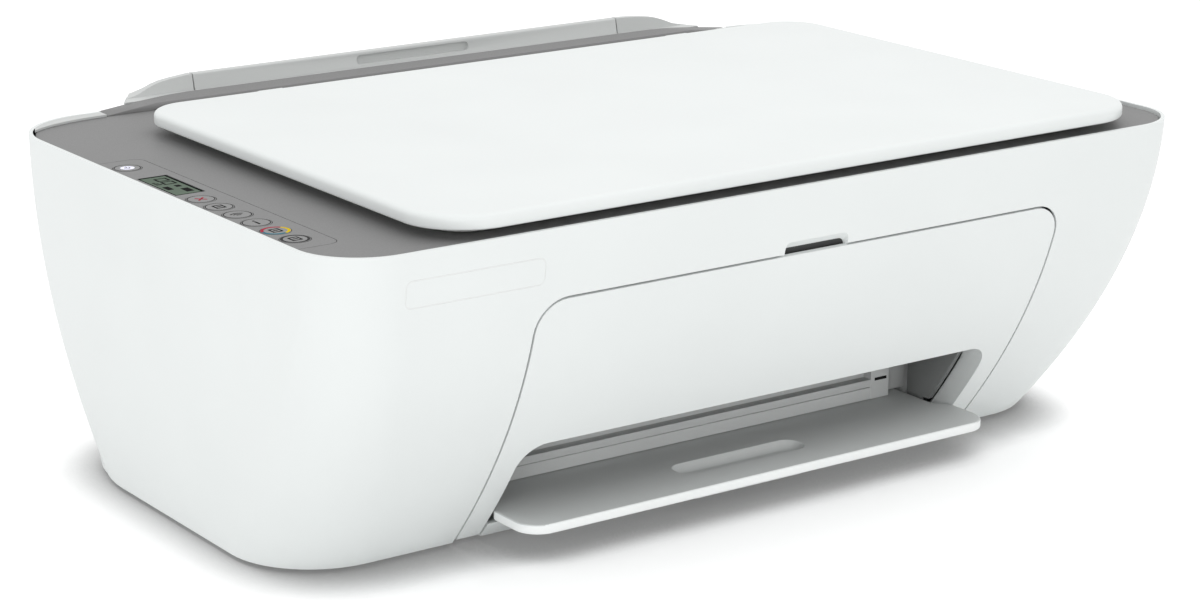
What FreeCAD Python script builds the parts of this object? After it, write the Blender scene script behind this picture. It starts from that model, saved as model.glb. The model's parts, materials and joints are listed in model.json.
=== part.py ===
import FreeCAD, Part
import os
from math import cos, pi, radians, sin, tan

# All-in-one inkjet printer. Millimetres, +Z up, front towards -Y, origin under the middle of its box.

# Overall sizes
body_width = 425.0
total_depth = 304.0
hopper_depth = 24.0
rim_height = 144.4
total_height = 153.0
foot_height = 2.0

# How the walls draw in from the rim down to the floor
front_lean = 67.4
side_lean = 11.0
back_lean = 15.0
lean_power = 1.85
rim_front_radius = 28.0
base_front_radius = 39.0
rim_back_radius = 36.0
base_back_radius = 52.0
section_count = 8

# Walls and fits
wall = 2.5
seat_gap = 0.3
slide_gap = 0.4
seam_gap = 0.9
pin_fit = 0.05
press_fit = 0.02
overlap = 0.5
past = 20.0

# Base pan and feet
pan_thickness = 2.5
pan_lip_height = 7.0
foot_radius = 7.0
foot_side = 45.0
foot_front = 26.0
foot_back = 30.0

# Paper path
paper_x = 8.8
hopper_x = 4.0
paper_width = 210.0

# Front door
door_width = 263.0
door_top = 115.5
door_bottom = 3.5
door_corner = 13.0
outlet_width = 240.0
outlet_top = 49.0
outlet_corner = 11.0
flange_depth = 12.0
flange_thickness = 2.0
door_axis_height = 7.0
door_axis_depth = 8.0
door_pin_radius = 2.0
door_ear_radius = 4.0
pin_reach = 6.0
notch_width = 32.0
notch_height = 5.0
notch_depth = 5.0

# Cheeks beside the tray inside the outlet
outlet_cheek_gap = 1.2
outlet_cheek_thickness = 2.0
outlet_cheek_top = 52.0
outlet_cheek_bend = 14.0

# Output tray
tray_front = -123.5
tray_back = -22.0
tray_top = 16.3
tray_thickness = 4.0
tray_width = 235.0
tray_neck_width = 229.0
tray_corner = 14.0
tray_small_corner = 5.0
tray_flare_start = -107.0
tray_flare_end = -101.0
scoop_width = 66.0
scoop_front = -107.5
scoop_back = -93.5
scoop_floor = 7.5
scoop_draft = 2.0
scoop_skin = 2.0
tray_rail_offset = 96.0
tray_rail_width = 6.0

# Deck, control panel and lid
deck_recess = 1.2
deck_thickness = 2.5
panel_right = -190.2
panel_front = -119.4
panel_back = 42.4
panel_corner = 5.0
button_x = -202.0
button_radius = 5.8
button_proud = 0.3
button_flange = 1.0
button_flange_thickness = 1.0
button_travel = 0.6
button_stem_radius = 1.9
power_button_y = 29.8
first_button_y = -32.9
button_pitch = 14.65
display_x = -200.8
display_width = 12.5
display_front = -22.0
display_back = 10.7
display_depth = 3.6
lid_left = -166.0
lid_right = 188.5
lid_front = -149.0
lid_back = 91.0
lid_bottom = 147.2
lid_front_radius = 26.0
lid_back_radius = 19.0
lid_edge_round = 2.2
lid_edge_chamfer = 1.2
lid_skin = 2.4
lid_rim = 4.0
pad_margin = 12.0
lid_axis_gap = 6.0
lid_axis_height = 148.0
lid_pin_radius = 1.8
lid_lug_radius = 3.2
lid_lug_width = 12.0
lid_hinge_spread = 110.0
cheek_thickness = 4.0
cheek_height = 6.8
cheek_front = 4.0
hinge_plate = 0.4

# Scanner
tub_left = -183.0
tub_right = 196.0
tub_front = -140.0
tub_back = 112.0
tub_bottom = 117.0
tub_wall = 2.0
glass_length = 307.0
glass_depth = 218.0
glass_thickness = 3.0
glass_margin = 4.0
scan_axis_y = -27.0
scan_rail_radius = 3.0
scan_rail_height = 123.0
scan_bar_width = 20.0
scan_bar_length = 216.0
scan_bar_bottom = 127.0
scan_saddle = 16.0

# Rear hopper
slot_cover_half = 170.0
slot_cover_front = 121.3
slot_cover_back = 131.6
slot_cover_brow = 146.0
slot_cover_top = 147.4
slot_cover_crown = 116.0
slot_cover_round = 1.5
slot_cover_back_round = 0.7
slot_wall = 2.3
slot_wall_bottom = 134.0
rear_half = 158.0
rear_back_half = 144.0
rear_side_depth = 22.0
rear_side_round = 10.0
rear_bottom = 12.0
rear_knee_height = 112.0
rear_foot_step = 7.0
rear_corner = 18.0
foot_slope = 0.12
arch_top = 152.7
arch_toe = 0.9
arch_face = 139.0
arch_face_lean = 1.5
arch_ridge_width = 3.5
arch_back_top = 149.0
arch_edge_round = 1.0
arch_back_round = 2.0
arch_crown = 118.0
arch_shoulder = 140.0
arch_shoulder_drop = 3.4
arch_foot_rise = 0.6
support_width = 230.0
support_gap = 0.6
support_offset = -3.0
support_panel_width = 220.0
support_panel_length = 92.0
support_thickness = 3.0
support_root = 3.5
grip_width = 61.0
grip_offset = -0.7
grip_depth = 1.6
grip_low = 146.9
grip_high = 151.2
grip_corner = 2.1
lean_angle = 12.0
bed_top = 142.0
bed_front = 139.0
bed_thickness = 2.0
bed_radius = 60.0
bed_end = 39.0
guide_width = 14.0
guide_height = 30.0
guide_thickness = 1.5
guide_fin = 4.0
guide_bottom = 103.0

# Print mechanism
plate_x = 181.0
plate_thickness = 1.5
plate_front = -72.0
plate_back = 100.0
plate_far_back = 116.0
plate_knee = 60.0
plate_foot = 12.0
beam_y = 40.0
beam_bottom = 50.0
beam_top = 112.0
rod_y = 22.0
rod_height = 80.0
rod_radius = 4.0
carriage_x = 135.0
carriage_width = 76.0
carriage_front = -42.0
carriage_back = 14.0
carriage_bottom = 33.5
carriage_top = 88.0
carriage_wall = 2.0
bearing_half = 10.0
cartridge_width = 30.0
cartridge_gap = 8.0
cartridge_proud = 7.0
nozzle_drop = 2.0
nozzle_front = 20.0
nozzle_back = 10.0
pulley_x = 160.0
pulley_height = 99.0
pulley_radius = 5.0
pulley_width = 7.0
belt_thickness = 1.0
belt_width = 6.0
belt_gap = 0.3
clamp_depth = 6.0
pulley_pin = 1.5
motor_radius = 13.0
motor_length = 24.0
encoder_y = 30.0
encoder_bottom = 106.0
encoder_height = 5.0
encoder_thickness = 0.6
platen_front = -72.4
platen_back = 20.0
platen_top = 29.0
platen_thickness = 2.5
platen_half = 119.0
roller_axis = 23.6
feed_y = 30.0
feed_radius = 6.4
exit_radius = 5.6
exit_shaft_radius = 2.5
exit_tyre_width = 12.0
exit_pitch = 45.0
exit_count = 5
journal_radius = 2.5
pinch_radius = 3.0
pinch_height = 33.6
star_radius = 4.0
star_height = 33.6
star_thickness = 1.2
star_shaft = 1.2
star_bar_front = -71.0
star_bar_back = -49.0
star_bar_bottom = 36.2
star_bar_top = 46.0
pick_radius = 14.0
pick_shaft = 4.0
pick_height = 88.0
pick_tyre_width = 16.0
pick_spread = 40.0
pick_gap = 0.4
wheel_gap = 1.0
bed_step = 1.0
pinch_arm_half = 2.0

# Gear train on the left side plate
gear_module = 1.0
roller_teeth = 27
transfer_teeth = 21
transfer_count = 3
pinion_teeth = 12
gear_width = 6.5
gear_offset = 2.5
gear_pin = 2.0
addendum = 0.75
dedendum = 1.15
tooth_root = 0.34
tooth_tip = 0.12
pinion_angle = 60.0
feed_motor_radius = 14.0
feed_motor_length = 19.0

# Electronics and maintenance
board_thickness = 1.6
board_standoff = 9.0
standoff_radius = 3.0
standoff_inset = 20.0
board_front = -60.0
board_back = 70.0
board_height = 90.0
supply_left = 44.0
supply_right = 118.0
supply_front = 52.0
supply_back = 86.0
supply_height = 20.0
inlet_x = 104.0
inlet_height = 24.0
inlet_width = 22.0
inlet_tall = 15.0
inlet_mouth_width = 15.0
inlet_mouth_tall = 8.5
inlet_depth = 14.0
inlet_pin_radius = 1.1
inlet_pin_pitch = 8.6
usb_x = 132.0
usb_width = 14.0
usb_tall = 13.0
usb_mouth_width = 8.5
usb_mouth_tall = 7.8
usb_tongue = 3.0
socket_length = 30.0
socket_recess = 1.5
station_right = 168.0
station_front = -40.0
station_back = 10.0
station_top = 31.0
cap_wall = 3.0
absorber_half = 60.0
absorber_front = -10.0
absorber_back = 40.0
absorber_height = 4.5
screw_radius = 1.4
screw_head_radius = 3.0
screw_head_height = 2.0
screw_front = -40.0
screw_back = 70.0

# Places that follow from the sizes above
front_edge = -total_depth / 2
back_edge = total_depth / 2
body_back = back_edge - hopper_depth
pan_bottom = foot_height
pan_top = pan_bottom + pan_thickness
deck_top = rim_height - deck_recess
deck_bottom = deck_top - deck_thickness
lean = radians(lean_angle)
exit_y = feed_y - gear_module * (roller_teeth + transfer_count * transfer_teeth)
door_left = paper_x - door_width / 2
door_right = paper_x + door_width / 2
outlet_left = paper_x - outlet_width / 2
outlet_right = paper_x + outlet_width / 2
tray_bottom = tray_top - tray_thickness
lid_x = (lid_left + lid_right) / 2
lid_axis_y = lid_back + lid_axis_gap
hopper_opening = rear_back_half - wall
slot_cover_left = hopper_x - slot_cover_half
slot_cover_right = hopper_x + slot_cover_half
X = FreeCAD.Vector(1, 0, 0)
Y = FreeCAD.Vector(0, 1, 0)
Z = FreeCAD.Vector(0, 0, 1)


def point(x, y, z):
    return FreeCAD.Vector(x, y, z)


def box(x0, x1, y0, y1, z0, z1):
    return Part.makeBox(x1 - x0, y1 - y0, z1 - z0, point(x0, y0, z0))


def rod_x(radius, x0, x1, y, z):
    return Part.makeCylinder(radius, x1 - x0, point(x0, y, z), X)


def rod_y_axis(radius, x, y0, y1, z):
    return Part.makeCylinder(radius, y1 - y0, point(x, y0, z), Y)


def rod_z(radius, x, y, z0, z1):
    return Part.makeCylinder(radius, z1 - z0, point(x, y, z0), Z)


def fuse(first, *others):
    return first.multiFuse(list(others)).removeSplitter()


# A closed outline of straight sides with rounded corners, each corner given as (a, b, radius)
def rounded_wire(corners, place):
    flat = [FreeCAD.Vector(a, b, 0) for a, b, radius in corners]
    edges = []
    ends = []
    for i, (a, b, radius) in enumerate(corners):
        here = flat[i]
        before = (flat[i - 1] - here).normalize()
        after = (flat[(i + 1) % len(flat)] - here).normalize()
        if radius <= 0:
            ends.append((here, None, here))
            continue
        half = before.getAngle(after) / 2
        reach = radius / tan(half)
        middle = (before + after).normalize()
        apex = here + middle * (radius / sin(half) - radius)
        ends.append((here + before * reach, apex, here + after * reach))
    for i, (start, apex, end) in enumerate(ends):
        if apex is not None:
            edges.append(Part.Arc(place(start), place(apex), place(end)).toShape())
        following = ends[(i + 1) % len(ends)][0]
        if (following - end).Length > 1e-6:
            edges.append(Part.LineSegment(place(end), place(following)).toShape())
    return Part.Wire(edges)


def prism_x(corners, x0, x1):
    wire = rounded_wire(corners, lambda p: point(x0, p.x, p.y))
    return Part.Face(wire).extrude(X * (x1 - x0))


def prism_y(corners, y0, y1):
    wire = rounded_wire(corners, lambda p: point(p.x, y0, p.y))
    return Part.Face(wire).extrude(Y * (y1 - y0))


def prism_z(corners, z0, z1):
    wire = rounded_wire(corners, lambda p: point(p.x, p.y, z0))
    return Part.Face(wire).extrude(Z * (z1 - z0))


def drawn_in(z):
    fall = max(rim_height - z, 0) / rim_height
    return fall ** lean_power


def front_at(z):
    return front_edge + front_lean * drawn_in(z)


def back_at(z):
    return body_back - back_lean * drawn_in(z)


# Outline of the body at one height, moved in by an inset
def body_section(z, inset, height=None):
    fall = max(rim_height - z, 0) / rim_height
    half = body_width / 2 - side_lean * drawn_in(z) - inset
    front = front_at(z) + inset
    back = back_at(z) - inset
    front_radius = rim_front_radius + (base_front_radius - rim_front_radius) * fall - inset
    back_radius = rim_back_radius + (base_back_radius - rim_back_radius) * fall - inset
    level = z if height is None else height
    corners = [(-half, front, front_radius), (half, front, front_radius),
               (half, back, back_radius), (-half, back, back_radius)]
    return rounded_wire(corners, lambda p: point(p.x, p.y, level))


def body_solid(inset, z0, z1):
    heights = [z0 + (z1 - z0) * i / (section_count - 1) for i in range(section_count)]
    return Part.makeLoft([body_section(z, inset) for z in heights], True, False)


def body_skin(depth):
    return body_solid(0, foot_height, rim_height).cut(body_solid(depth, foot_height, rim_height))


def door_outline(grow):
    return [(door_left - grow, -past, 0), (door_right + grow, -past, 0),
            (door_right + grow, door_top + grow, door_corner + grow),
            (door_left - grow, door_top + grow, door_corner + grow)]


def outlet_outline(grow):
    return [(outlet_left - grow, -past, 0), (outlet_right + grow, -past, 0),
            (outlet_right + grow, outlet_top + grow, outlet_corner + grow),
            (outlet_left - grow, outlet_top + grow, outlet_corner + grow)]


def front_prism(outline):
    return prism_y(outline, front_edge - past, front_at(0) + past)


door_axis_y = front_at(door_axis_height) + door_axis_depth


# Room left in the rim for the slot cover's ledge
def ledge_room():
    return box(slot_cover_left - slide_gap, slot_cover_right + slide_gap, slot_cover_front,
               slot_cover_back + slide_gap, deck_top - slide_gap, total_height)


def outer_shell():
    shell = body_skin(wall)
    shell = shell.cut(front_prism(door_outline(seam_gap)))
    shell = shell.cut(box(hopper_x - hopper_opening, hopper_x + hopper_opening, 0, back_edge,
                          rear_bottom + wall, total_height))
    shell = shell.cut(ledge_room())
    scoop_top = door_top + seam_gap + notch_height
    face = front_at(door_top)
    notch = prism_x([(front_edge - past, scoop_top, 0), (front_edge - past, door_top, 0),
                     (face + notch_depth, door_top, 0), (face, scoop_top, 0)],
                    paper_x - notch_width / 2, paper_x + notch_width / 2)
    return shell.cut(notch)


def base_pan():
    inside = wall + seat_gap
    plate = body_solid(inside, pan_bottom, pan_top)
    lip_left = outlet_left + seam_gap
    lip_right = outlet_right - seam_gap
    lip = body_solid(0, pan_bottom, pan_bottom + pan_lip_height)
    lip = lip.cut(body_solid(inside + overlap, pan_bottom, pan_bottom + pan_lip_height))
    lip = lip.common(box(lip_left, lip_right, front_edge, 0, 0, rim_height))
    pan = fuse(plate, lip)
    flange_back = front_at(door_bottom) + wall + flange_depth
    for side, edge, leg in ((-1, door_left, lip_left), (1, door_right, lip_right)):
        inner = edge + side * seam_gap
        outer = inner + side * (pin_reach + wall)
        front = front_at(pan_top) + inside
        sweep = box(min(leg, inner), max(leg, inner), front_edge, flange_back + seam_gap, 0, pan_top + past)
        block = box(min(inner, outer), max(inner, outer), front, door_axis_y + 2 * door_ear_radius,
                    pan_top - overlap, door_axis_height + door_ear_radius)
        bore = rod_x(door_pin_radius + pin_fit, min(inner, outer), max(inner, outer),
                     door_axis_y, door_axis_height)
        pan = fuse(pan.cut(sweep), block).cut(bore)
    for side in (-1, 1):
        middle = paper_x + side * tray_rail_offset
        rail = box(middle - tray_rail_width / 2, middle + tray_rail_width / 2,
                   front_at(pan_top) + inside, tray_back, pan_top - overlap, tray_bottom - seat_gap)
        pan = fuse(pan, rail)
    for side in (-1, 1):
        pan = fuse(pan, outlet_cheek(side))
    for x, y in screw_places():
        pan = pan.cut(rod_z(screw_radius + press_fit, x, y, pan_bottom, pan_top))
    return pan


# A plate beside the tray that closes off the inside of the outlet, drawn back behind the door's flange
def outlet_cheek(side):
    near = paper_x + side * (tray_neck_width / 2 + outlet_cheek_gap)
    far = near + side * outlet_cheek_thickness
    reach = wall + flange_depth + seam_gap
    back = platen_front - slide_gap
    return prism_x([(back, pan_top - overlap, 0), (back, outlet_cheek_top, 0),
                    (front_at(outlet_cheek_top) + reach, outlet_cheek_top, 0),
                    (front_at(outlet_cheek_bend) + reach, outlet_cheek_bend, 0),
                    (front_at(outlet_cheek_bend) + reach, pan_top - overlap, 0)],
                   min(near, far), max(near, far))


def rubber_feet():
    half = body_width / 2 - side_lean - foot_side
    front = front_at(0) + foot_front
    back = back_at(0) - foot_back
    return Part.makeCompound([rod_z(foot_radius, x, y, 0, foot_height)
                              for x in (-half, half) for y in (front, back)])


def front_door():
    door = body_skin(wall).common(front_prism(door_outline(0)))
    flange = body_skin(wall + flange_depth)
    flange = flange.common(front_prism(outlet_outline(flange_thickness)))
    door = fuse(door, flange).cut(front_prism(outlet_outline(0)))
    door = door.cut(box(-body_width, body_width, front_edge, back_edge, 0, door_bottom))
    for edge, inner, side in ((door_left, outlet_left, -1), (door_right, outlet_right, 1)):
        low, high = min(edge, inner), max(edge, inner)
        ear = box(low, high, front_at(door_axis_height) + wall / 2, door_axis_y,
                  door_axis_height, door_axis_height + door_ear_radius)
        barrel = rod_x(door_ear_radius, low, high, door_axis_y, door_axis_height)
        tip = edge + side * (seam_gap + pin_reach)
        pin = rod_x(door_pin_radius, min(inner, tip), max(inner, tip), door_axis_y, door_axis_height)
        door = fuse(door, ear, barrel, pin)
    return door


def tray_outline():
    half = tray_width / 2
    neck = tray_neck_width / 2
    side = [(neck, tray_back, 0), (neck, tray_flare_end, tray_small_corner),
            (half, tray_flare_start, tray_small_corner), (half, tray_front, tray_corner)]
    right = [(paper_x + x, y, radius) for x, y, radius in side]
    left = [(paper_x - x, y, radius) for x, y, radius in reversed(side)]
    return right + left


def scoop_loft(grow, floor, brim):
    half = scoop_width / 2
    sections = []
    for z, inset in ((floor, scoop_draft - grow), (brim, -grow)):
        corners = [(paper_x - half + inset, scoop_front + inset, tray_small_corner),
                   (paper_x + half - inset, scoop_front + inset, tray_small_corner),
                   (paper_x + half - inset, scoop_back - inset, tray_small_corner),
                   (paper_x - half + inset, scoop_back - inset, tray_small_corner)]
        sections.append(rounded_wire(corners, lambda p, z=z: point(p.x, p.y, z)))
    return Part.makeLoft(sections, True, True)


def output_tray():
    tray = prism_z(tray_outline(), tray_bottom, tray_top)
    tray = fuse(tray, scoop_loft(scoop_skin, scoop_floor - scoop_skin, tray_top - overlap))
    return tray.cut(scoop_loft(0, scoop_floor, tray_top + overlap))


def deck_plate(grow):
    wire = body_section(rim_height, wall + slide_gap - grow, deck_bottom)
    return Part.Face(wire).extrude(Z * deck_thickness)


def panel_zone(gap):
    return prism_z([(-body_width, panel_front - gap, 0),
                    (panel_right + gap, panel_front - gap, panel_corner + gap),
                    (panel_right + gap, panel_back + gap, panel_corner + gap),
                    (-body_width, panel_back + gap, 0)], 0, total_height)


def glass_zone(inset):
    return box(lid_x - glass_length / 2 + inset, lid_x + glass_length / 2 - inset,
               scan_axis_y - glass_depth / 2 + inset, scan_axis_y + glass_depth / 2 - inset,
               0, total_height)


def top_deck():
    return deck_plate(0).cut(panel_zone(seat_gap)).cut(glass_zone(glass_margin))


button_names = ("cancel_button", "resume_button", "wireless_button", "information_button",
                "colour_copy_button", "black_copy_button")
button_y = {"power_button": power_button_y}
for place, name in enumerate(button_names):
    button_y[name] = first_button_y - button_pitch * place


def control_panel():
    panel = deck_plate(0).common(panel_zone(0))
    for y in button_y.values():
        panel = panel.cut(rod_z(button_radius + seat_gap, button_x, y, deck_bottom, deck_top))
    return panel.cut(display_zone(seat_gap, deck_bottom, deck_top))


def display_zone(grow, z0, z1):
    return box(display_x - display_width / 2 - grow, display_x + display_width / 2 + grow,
               display_front - grow, display_back + grow, z0, z1)


def display():
    return display_zone(0, deck_top - display_depth, deck_top)


board_top = deck_bottom - slide_gap - button_flange_thickness - display_depth


def button(y):
    cap_bottom = deck_bottom - slide_gap - button_flange_thickness
    cap = rod_z(button_radius, button_x, y, cap_bottom, deck_top + button_proud)
    flange = rod_z(button_radius + button_flange, button_x, y,
                   cap_bottom, cap_bottom + button_flange_thickness)
    stem = rod_z(button_stem_radius, button_x, y, board_top + button_travel + seat_gap, cap_bottom)
    return fuse(cap, flange, stem)


def control_board():
    left = -body_width / 2 + 2 * wall
    return box(left, tub_left - seat_gap, panel_front, panel_back, board_top - board_thickness, board_top)


def lid_outline(inset):
    return [(lid_left + inset, lid_front + inset, lid_front_radius - inset),
            (lid_right - inset, lid_front + inset, lid_front_radius - inset),
            (lid_right - inset, lid_back - inset, lid_back_radius - inset),
            (lid_left + inset, lid_back - inset, lid_back_radius - inset)]


def level_edges(shape, z):
    return [e for e in shape.Edges if abs(e.BoundBox.ZMin - z) < 1e-3 and abs(e.BoundBox.ZMax - z) < 1e-3]


hinge_places = (lid_x - lid_hinge_spread, lid_x + lid_hinge_spread)


def scanner_lid():
    lid = prism_z(lid_outline(0), lid_bottom, total_height)
    lid = lid.makeFillet(lid_edge_round, level_edges(lid, total_height))
    lid = lid.makeChamfer(lid_edge_chamfer, level_edges(lid, lid_bottom))
    lid = lid.cut(prism_z(lid_outline(lid_rim), lid_bottom, total_height - lid_skin))
    for x in hinge_places:
        left, right = x - lid_lug_width / 2, x + lid_lug_width / 2
        arm = box(left, right, lid_back - lid_rim, lid_axis_y, lid_axis_height - lid_pin_radius,
                  lid_axis_height + lid_lug_radius)
        lug = rod_x(lid_lug_radius, left, right, lid_axis_y, lid_axis_height)
        bore = rod_x(lid_pin_radius + pin_fit, left, right, lid_axis_y, lid_axis_height)
        lid = fuse(lid, arm, lug).cut(bore)
    return lid


def lid_pad():
    return prism_z(lid_outline(pad_margin), deck_top + slide_gap,
                   total_height - lid_skin - seat_gap)


def hinge_block(x):
    inner = lid_lug_width / 2 + seat_gap
    outer = inner + cheek_thickness
    front = lid_axis_y - cheek_front
    back = lid_axis_y + cheek_front
    plate = box(x - outer, x + outer, front, back, deck_top, deck_top + hinge_plate)
    block = plate
    for low, high in ((x - outer, x - inner), (x + inner, x + outer)):
        block = fuse(block, box(low, high, front, back, deck_top, deck_top + cheek_height))
    return fuse(block, rod_x(lid_pin_radius, x - outer, x + outer, lid_axis_y, lid_axis_height))


def hinge_blocks():
    return Part.makeCompound([hinge_block(x) for x in hinge_places])


def scanner_tub():
    tub = box(tub_left, tub_right, tub_front, tub_back, tub_bottom, deck_bottom)
    hollow = box(tub_left + tub_wall, tub_right - tub_wall, tub_front + tub_wall, tub_back - tub_wall,
                 tub_bottom + tub_wall, deck_bottom)
    return tub.cut(hollow)


def platen_glass():
    return glass_zone(0).common(box(-body_width, body_width, front_edge, back_edge,
                                    deck_bottom - glass_thickness, deck_bottom))


scan_home = tub_left + tub_wall + seam_gap


def scan_bar():
    top = deck_bottom - glass_thickness - seat_gap
    bar = box(scan_home, scan_home + scan_bar_width, scan_axis_y - scan_bar_length / 2,
              scan_axis_y + scan_bar_length / 2, scan_bar_bottom, top)
    saddle = box(scan_home, scan_home + scan_bar_width, scan_axis_y - scan_saddle / 2,
                 scan_axis_y + scan_saddle / 2, scan_rail_height - scan_rail_radius, scan_bar_bottom)
    bore = rod_x(scan_rail_radius + pin_fit, scan_home, scan_home + scan_bar_width,
                 scan_axis_y, scan_rail_height)
    return fuse(bar, saddle).cut(bore)


def scan_rail():
    return rod_x(scan_rail_radius, tub_left + tub_wall, tub_right - tub_wall, scan_axis_y, scan_rail_height)


# The bed leans back from the vertical, and this gives the place of its front face at a height
def bed_at(z):
    return bed_front - (bed_top - z) * tan(lean)


# A window that bounds the top of a strip: level in the middle, falling smoothly to a foot at each side
def falling_window(half, foot, crown, top, shoulder=None):
    edges = []
    ends = []
    for side in (-1, 1):
        curve_points = [point(hopper_x + side * half, 0, foot)]
        if shoulder:
            curve_points.append(point(hopper_x + side * shoulder[0], 0, shoulder[1]))
        curve_points.append(point(hopper_x + side * crown, 0, top))
        curve = Part.BSplineCurve()
        inward = X * -side
        curve.interpolate(Points=curve_points, InitialTangent=inward + Z * foot_slope, FinalTangent=inward)
        edges.append(curve.toShape())
        ends.append((curve_points[0], curve_points[-1]))
    floor = [point(first.x, 0, 0) for first, last in ends]
    lines = [(ends[0][1], ends[1][1]), (ends[0][0], floor[0]), (floor[0], floor[1]), (floor[1], ends[1][0])]
    edges += [Part.LineSegment(a, b).toShape() for a, b in lines]
    return Part.Face(Part.Wire(Part.__sortEdges__(edges))).extrude(Y * (back_edge + past))


def slot_cover():
    ledge = prism_x([(slot_cover_front, deck_top, 0), (slot_cover_front, slot_cover_brow, slot_cover_round),
                     (slot_cover_back, slot_cover_top, slot_cover_back_round),
                     (slot_cover_back, deck_top, 0)],
                    slot_cover_left, slot_cover_right)
    window = falling_window(slot_cover_half, deck_top + seat_gap, slot_cover_crown, slot_cover_top)
    ledge = ledge.common(window)
    half = hopper_opening - slide_gap
    lining = box(hopper_x - half, hopper_x + half, slot_cover_back - slot_wall, slot_cover_back,
                 slot_wall_bottom, deck_top + seat_gap)
    return fuse(ledge, lining)


rear_top = rim_height - seat_gap


def rear_outline(inset):
    foot = back_at(rear_bottom) + rear_foot_step - inset
    return [(0, rear_bottom + inset, 0), (foot, rear_bottom + inset, 0),
            (back_edge - inset, rear_knee_height, 0), (back_edge - inset, rear_top, 0), (0, rear_top, 0)]


# Plan of the hopper's bulge behind the body, a trapezium with rounded corners
def rear_plan(inset, z0, z1):
    side = [(rear_half - inset, 0, 0), (rear_half - inset, back_edge - rear_side_depth, rear_side_round),
            (rear_back_half - inset, back_edge - inset, rear_corner - inset)]
    right = [(hopper_x + x, y, radius) for x, y, radius in side]
    left = [(hopper_x - x, y, radius) for x, y, radius in reversed(side)]
    return prism_z(right + left, z0, z1)


def hood_block(inset):
    hood = prism_x(rear_outline(inset), -body_width, body_width)
    return hood.common(rear_plan(inset, 0, total_height))


def rear_cover():
    hood = hood_block(0).cut(hood_block(wall))
    hood = hood.cut(body_solid(-seat_gap, foot_height, rim_height + seat_gap)).cut(ledge_room())
    for x, wide, tall in ((inlet_x, inlet_width, inlet_tall), (usb_x, usb_width, usb_tall)):
        hood = hood.cut(box(x - wide / 2 - seat_gap, x + wide / 2 + seat_gap, back_at(0), back_edge,
                            inlet_height - tall / 2 - seat_gap, inlet_height + tall / 2 + seat_gap))
    return hood


arch_front = slot_cover_back + slide_gap
support_x = hopper_x + support_offset


# The low light arch behind the lid: a steep face behind a thin toe over the slot, falling away at each side
def arch(left, right):
    low = rim_height + seat_gap
    ridge = arch_face + arch_face_lean
    strip = prism_x([(arch_front, low, 0), (arch_front, low + arch_toe, 0), (arch_face, low + arch_toe, 0),
                     (ridge, arch_top, arch_edge_round),
                     (ridge + arch_ridge_width, arch_top, arch_back_round),
                     (back_edge, arch_back_top, arch_back_round), (back_edge, low, 0)], left, right)
    window = falling_window(rear_half, low + arch_foot_rise, arch_crown, arch_top,
                            (arch_shoulder, arch_top - arch_shoulder_drop))
    return strip.common(rear_plan(0, 0, total_height)).common(window)


def left_wing():
    return arch(hopper_x - rear_half, support_x - support_width / 2 - support_gap)


def right_wing():
    return arch(support_x + support_width / 2 + support_gap, hopper_x + rear_half)


# A plate parallel to the bed, given by its distance behind the bed's front face
def leaning_plate(x0, x1, near, far, length, top_z):
    plate = box(x0, x1, near, far, -length, 0)
    plate.rotate(point(0, 0, 0), X, -lean_angle)
    plate.translate(point(0, bed_at(top_z), top_z))
    return plate


def paper_support():
    head = arch(support_x - support_width / 2, support_x + support_width / 2)
    middle = support_x + grip_offset
    left, right = middle - grip_width / 2, middle + grip_width / 2
    grip = prism_y([(left, grip_low, grip_corner), (right, grip_low, grip_corner),
                    (right, grip_high, grip_corner), (left, grip_high, grip_corner)],
                   arch_front, arch_face + arch_face_lean / 2 + grip_depth)
    near = bed_thickness + slide_gap
    half = support_panel_width / 2
    panel = leaning_plate(hopper_x - half, hopper_x + half, near, near + support_thickness,
                          support_panel_length, rim_height + support_root)
    return fuse(head.cut(grip), panel)


# The hopper bed carries the paper's back, then curves round to lead the sheet forward under the rollers
def hopper_bed():
    along = point(0, -sin(lean), -cos(lean))
    out = point(0, -cos(lean), sin(lean))
    end_z = platen_top + bed_step
    turn_z = end_z + bed_radius * (1 - sin(lean))
    half = hopper_opening - slide_gap
    edge = hopper_x - half
    start = point(edge, bed_at(bed_top), bed_top)
    turn = point(edge, bed_at(turn_z), turn_z)
    centre = turn + out * bed_radius

    def around(angle, radius):
        return centre + point(0, cos(angle), sin(angle)) * radius

    def face(offset):
        radius = bed_radius + offset
        first = -lean
        last = -pi / 2
        arc = Part.Arc(around(first, radius), around((first + last) / 2, radius), around(last, radius))
        return start - out * offset, around(first, radius), arc, around(last, radius)

    s0, t0, arc0, b0 = face(0)
    s1, t1, arc1, b1 = face(bed_thickness)
    e0 = point(edge, bed_end, b0.z)
    e1 = point(edge, bed_end, b1.z)
    lines = [(s0, t0), (b0, e0), (e0, e1), (e1, b1), (t1, s1), (s1, s0)]
    edges = [Part.LineSegment(a, b).toShape() for a, b in lines] + [arc0.toShape(), arc1.toShape()]
    return Part.Face(Part.Wire(Part.__sortEdges__(edges))).extrude(X * (2 * half))


def width_guide(side):
    inner = hopper_x + side * (paper_width / 2 + seat_gap)
    outer = inner + side * guide_width
    fin = inner + side * guide_thickness
    top = guide_bottom + guide_height
    plate = leaning_plate(min(inner, outer), max(inner, outer), -seat_gap - guide_thickness, -seat_gap,
                          guide_height, top)
    ridge = leaning_plate(min(inner, fin), max(inner, fin), -seat_gap - guide_fin, -seat_gap,
                          guide_height, top)
    return fuse(plate, ridge)


def plate_holes(x0, x1):
    holes = [rod_x(journal_radius + pin_fit, x0, x1, feed_y, roller_axis),
             rod_x(exit_shaft_radius + pin_fit, x0, x1, exit_y, roller_axis),
             rod_x(pick_shaft + pin_fit, x0, x1, pick_y, pick_height),
             rod_x(rod_radius + press_fit, x0, x1, rod_y, rod_height)]
    return holes


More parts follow.
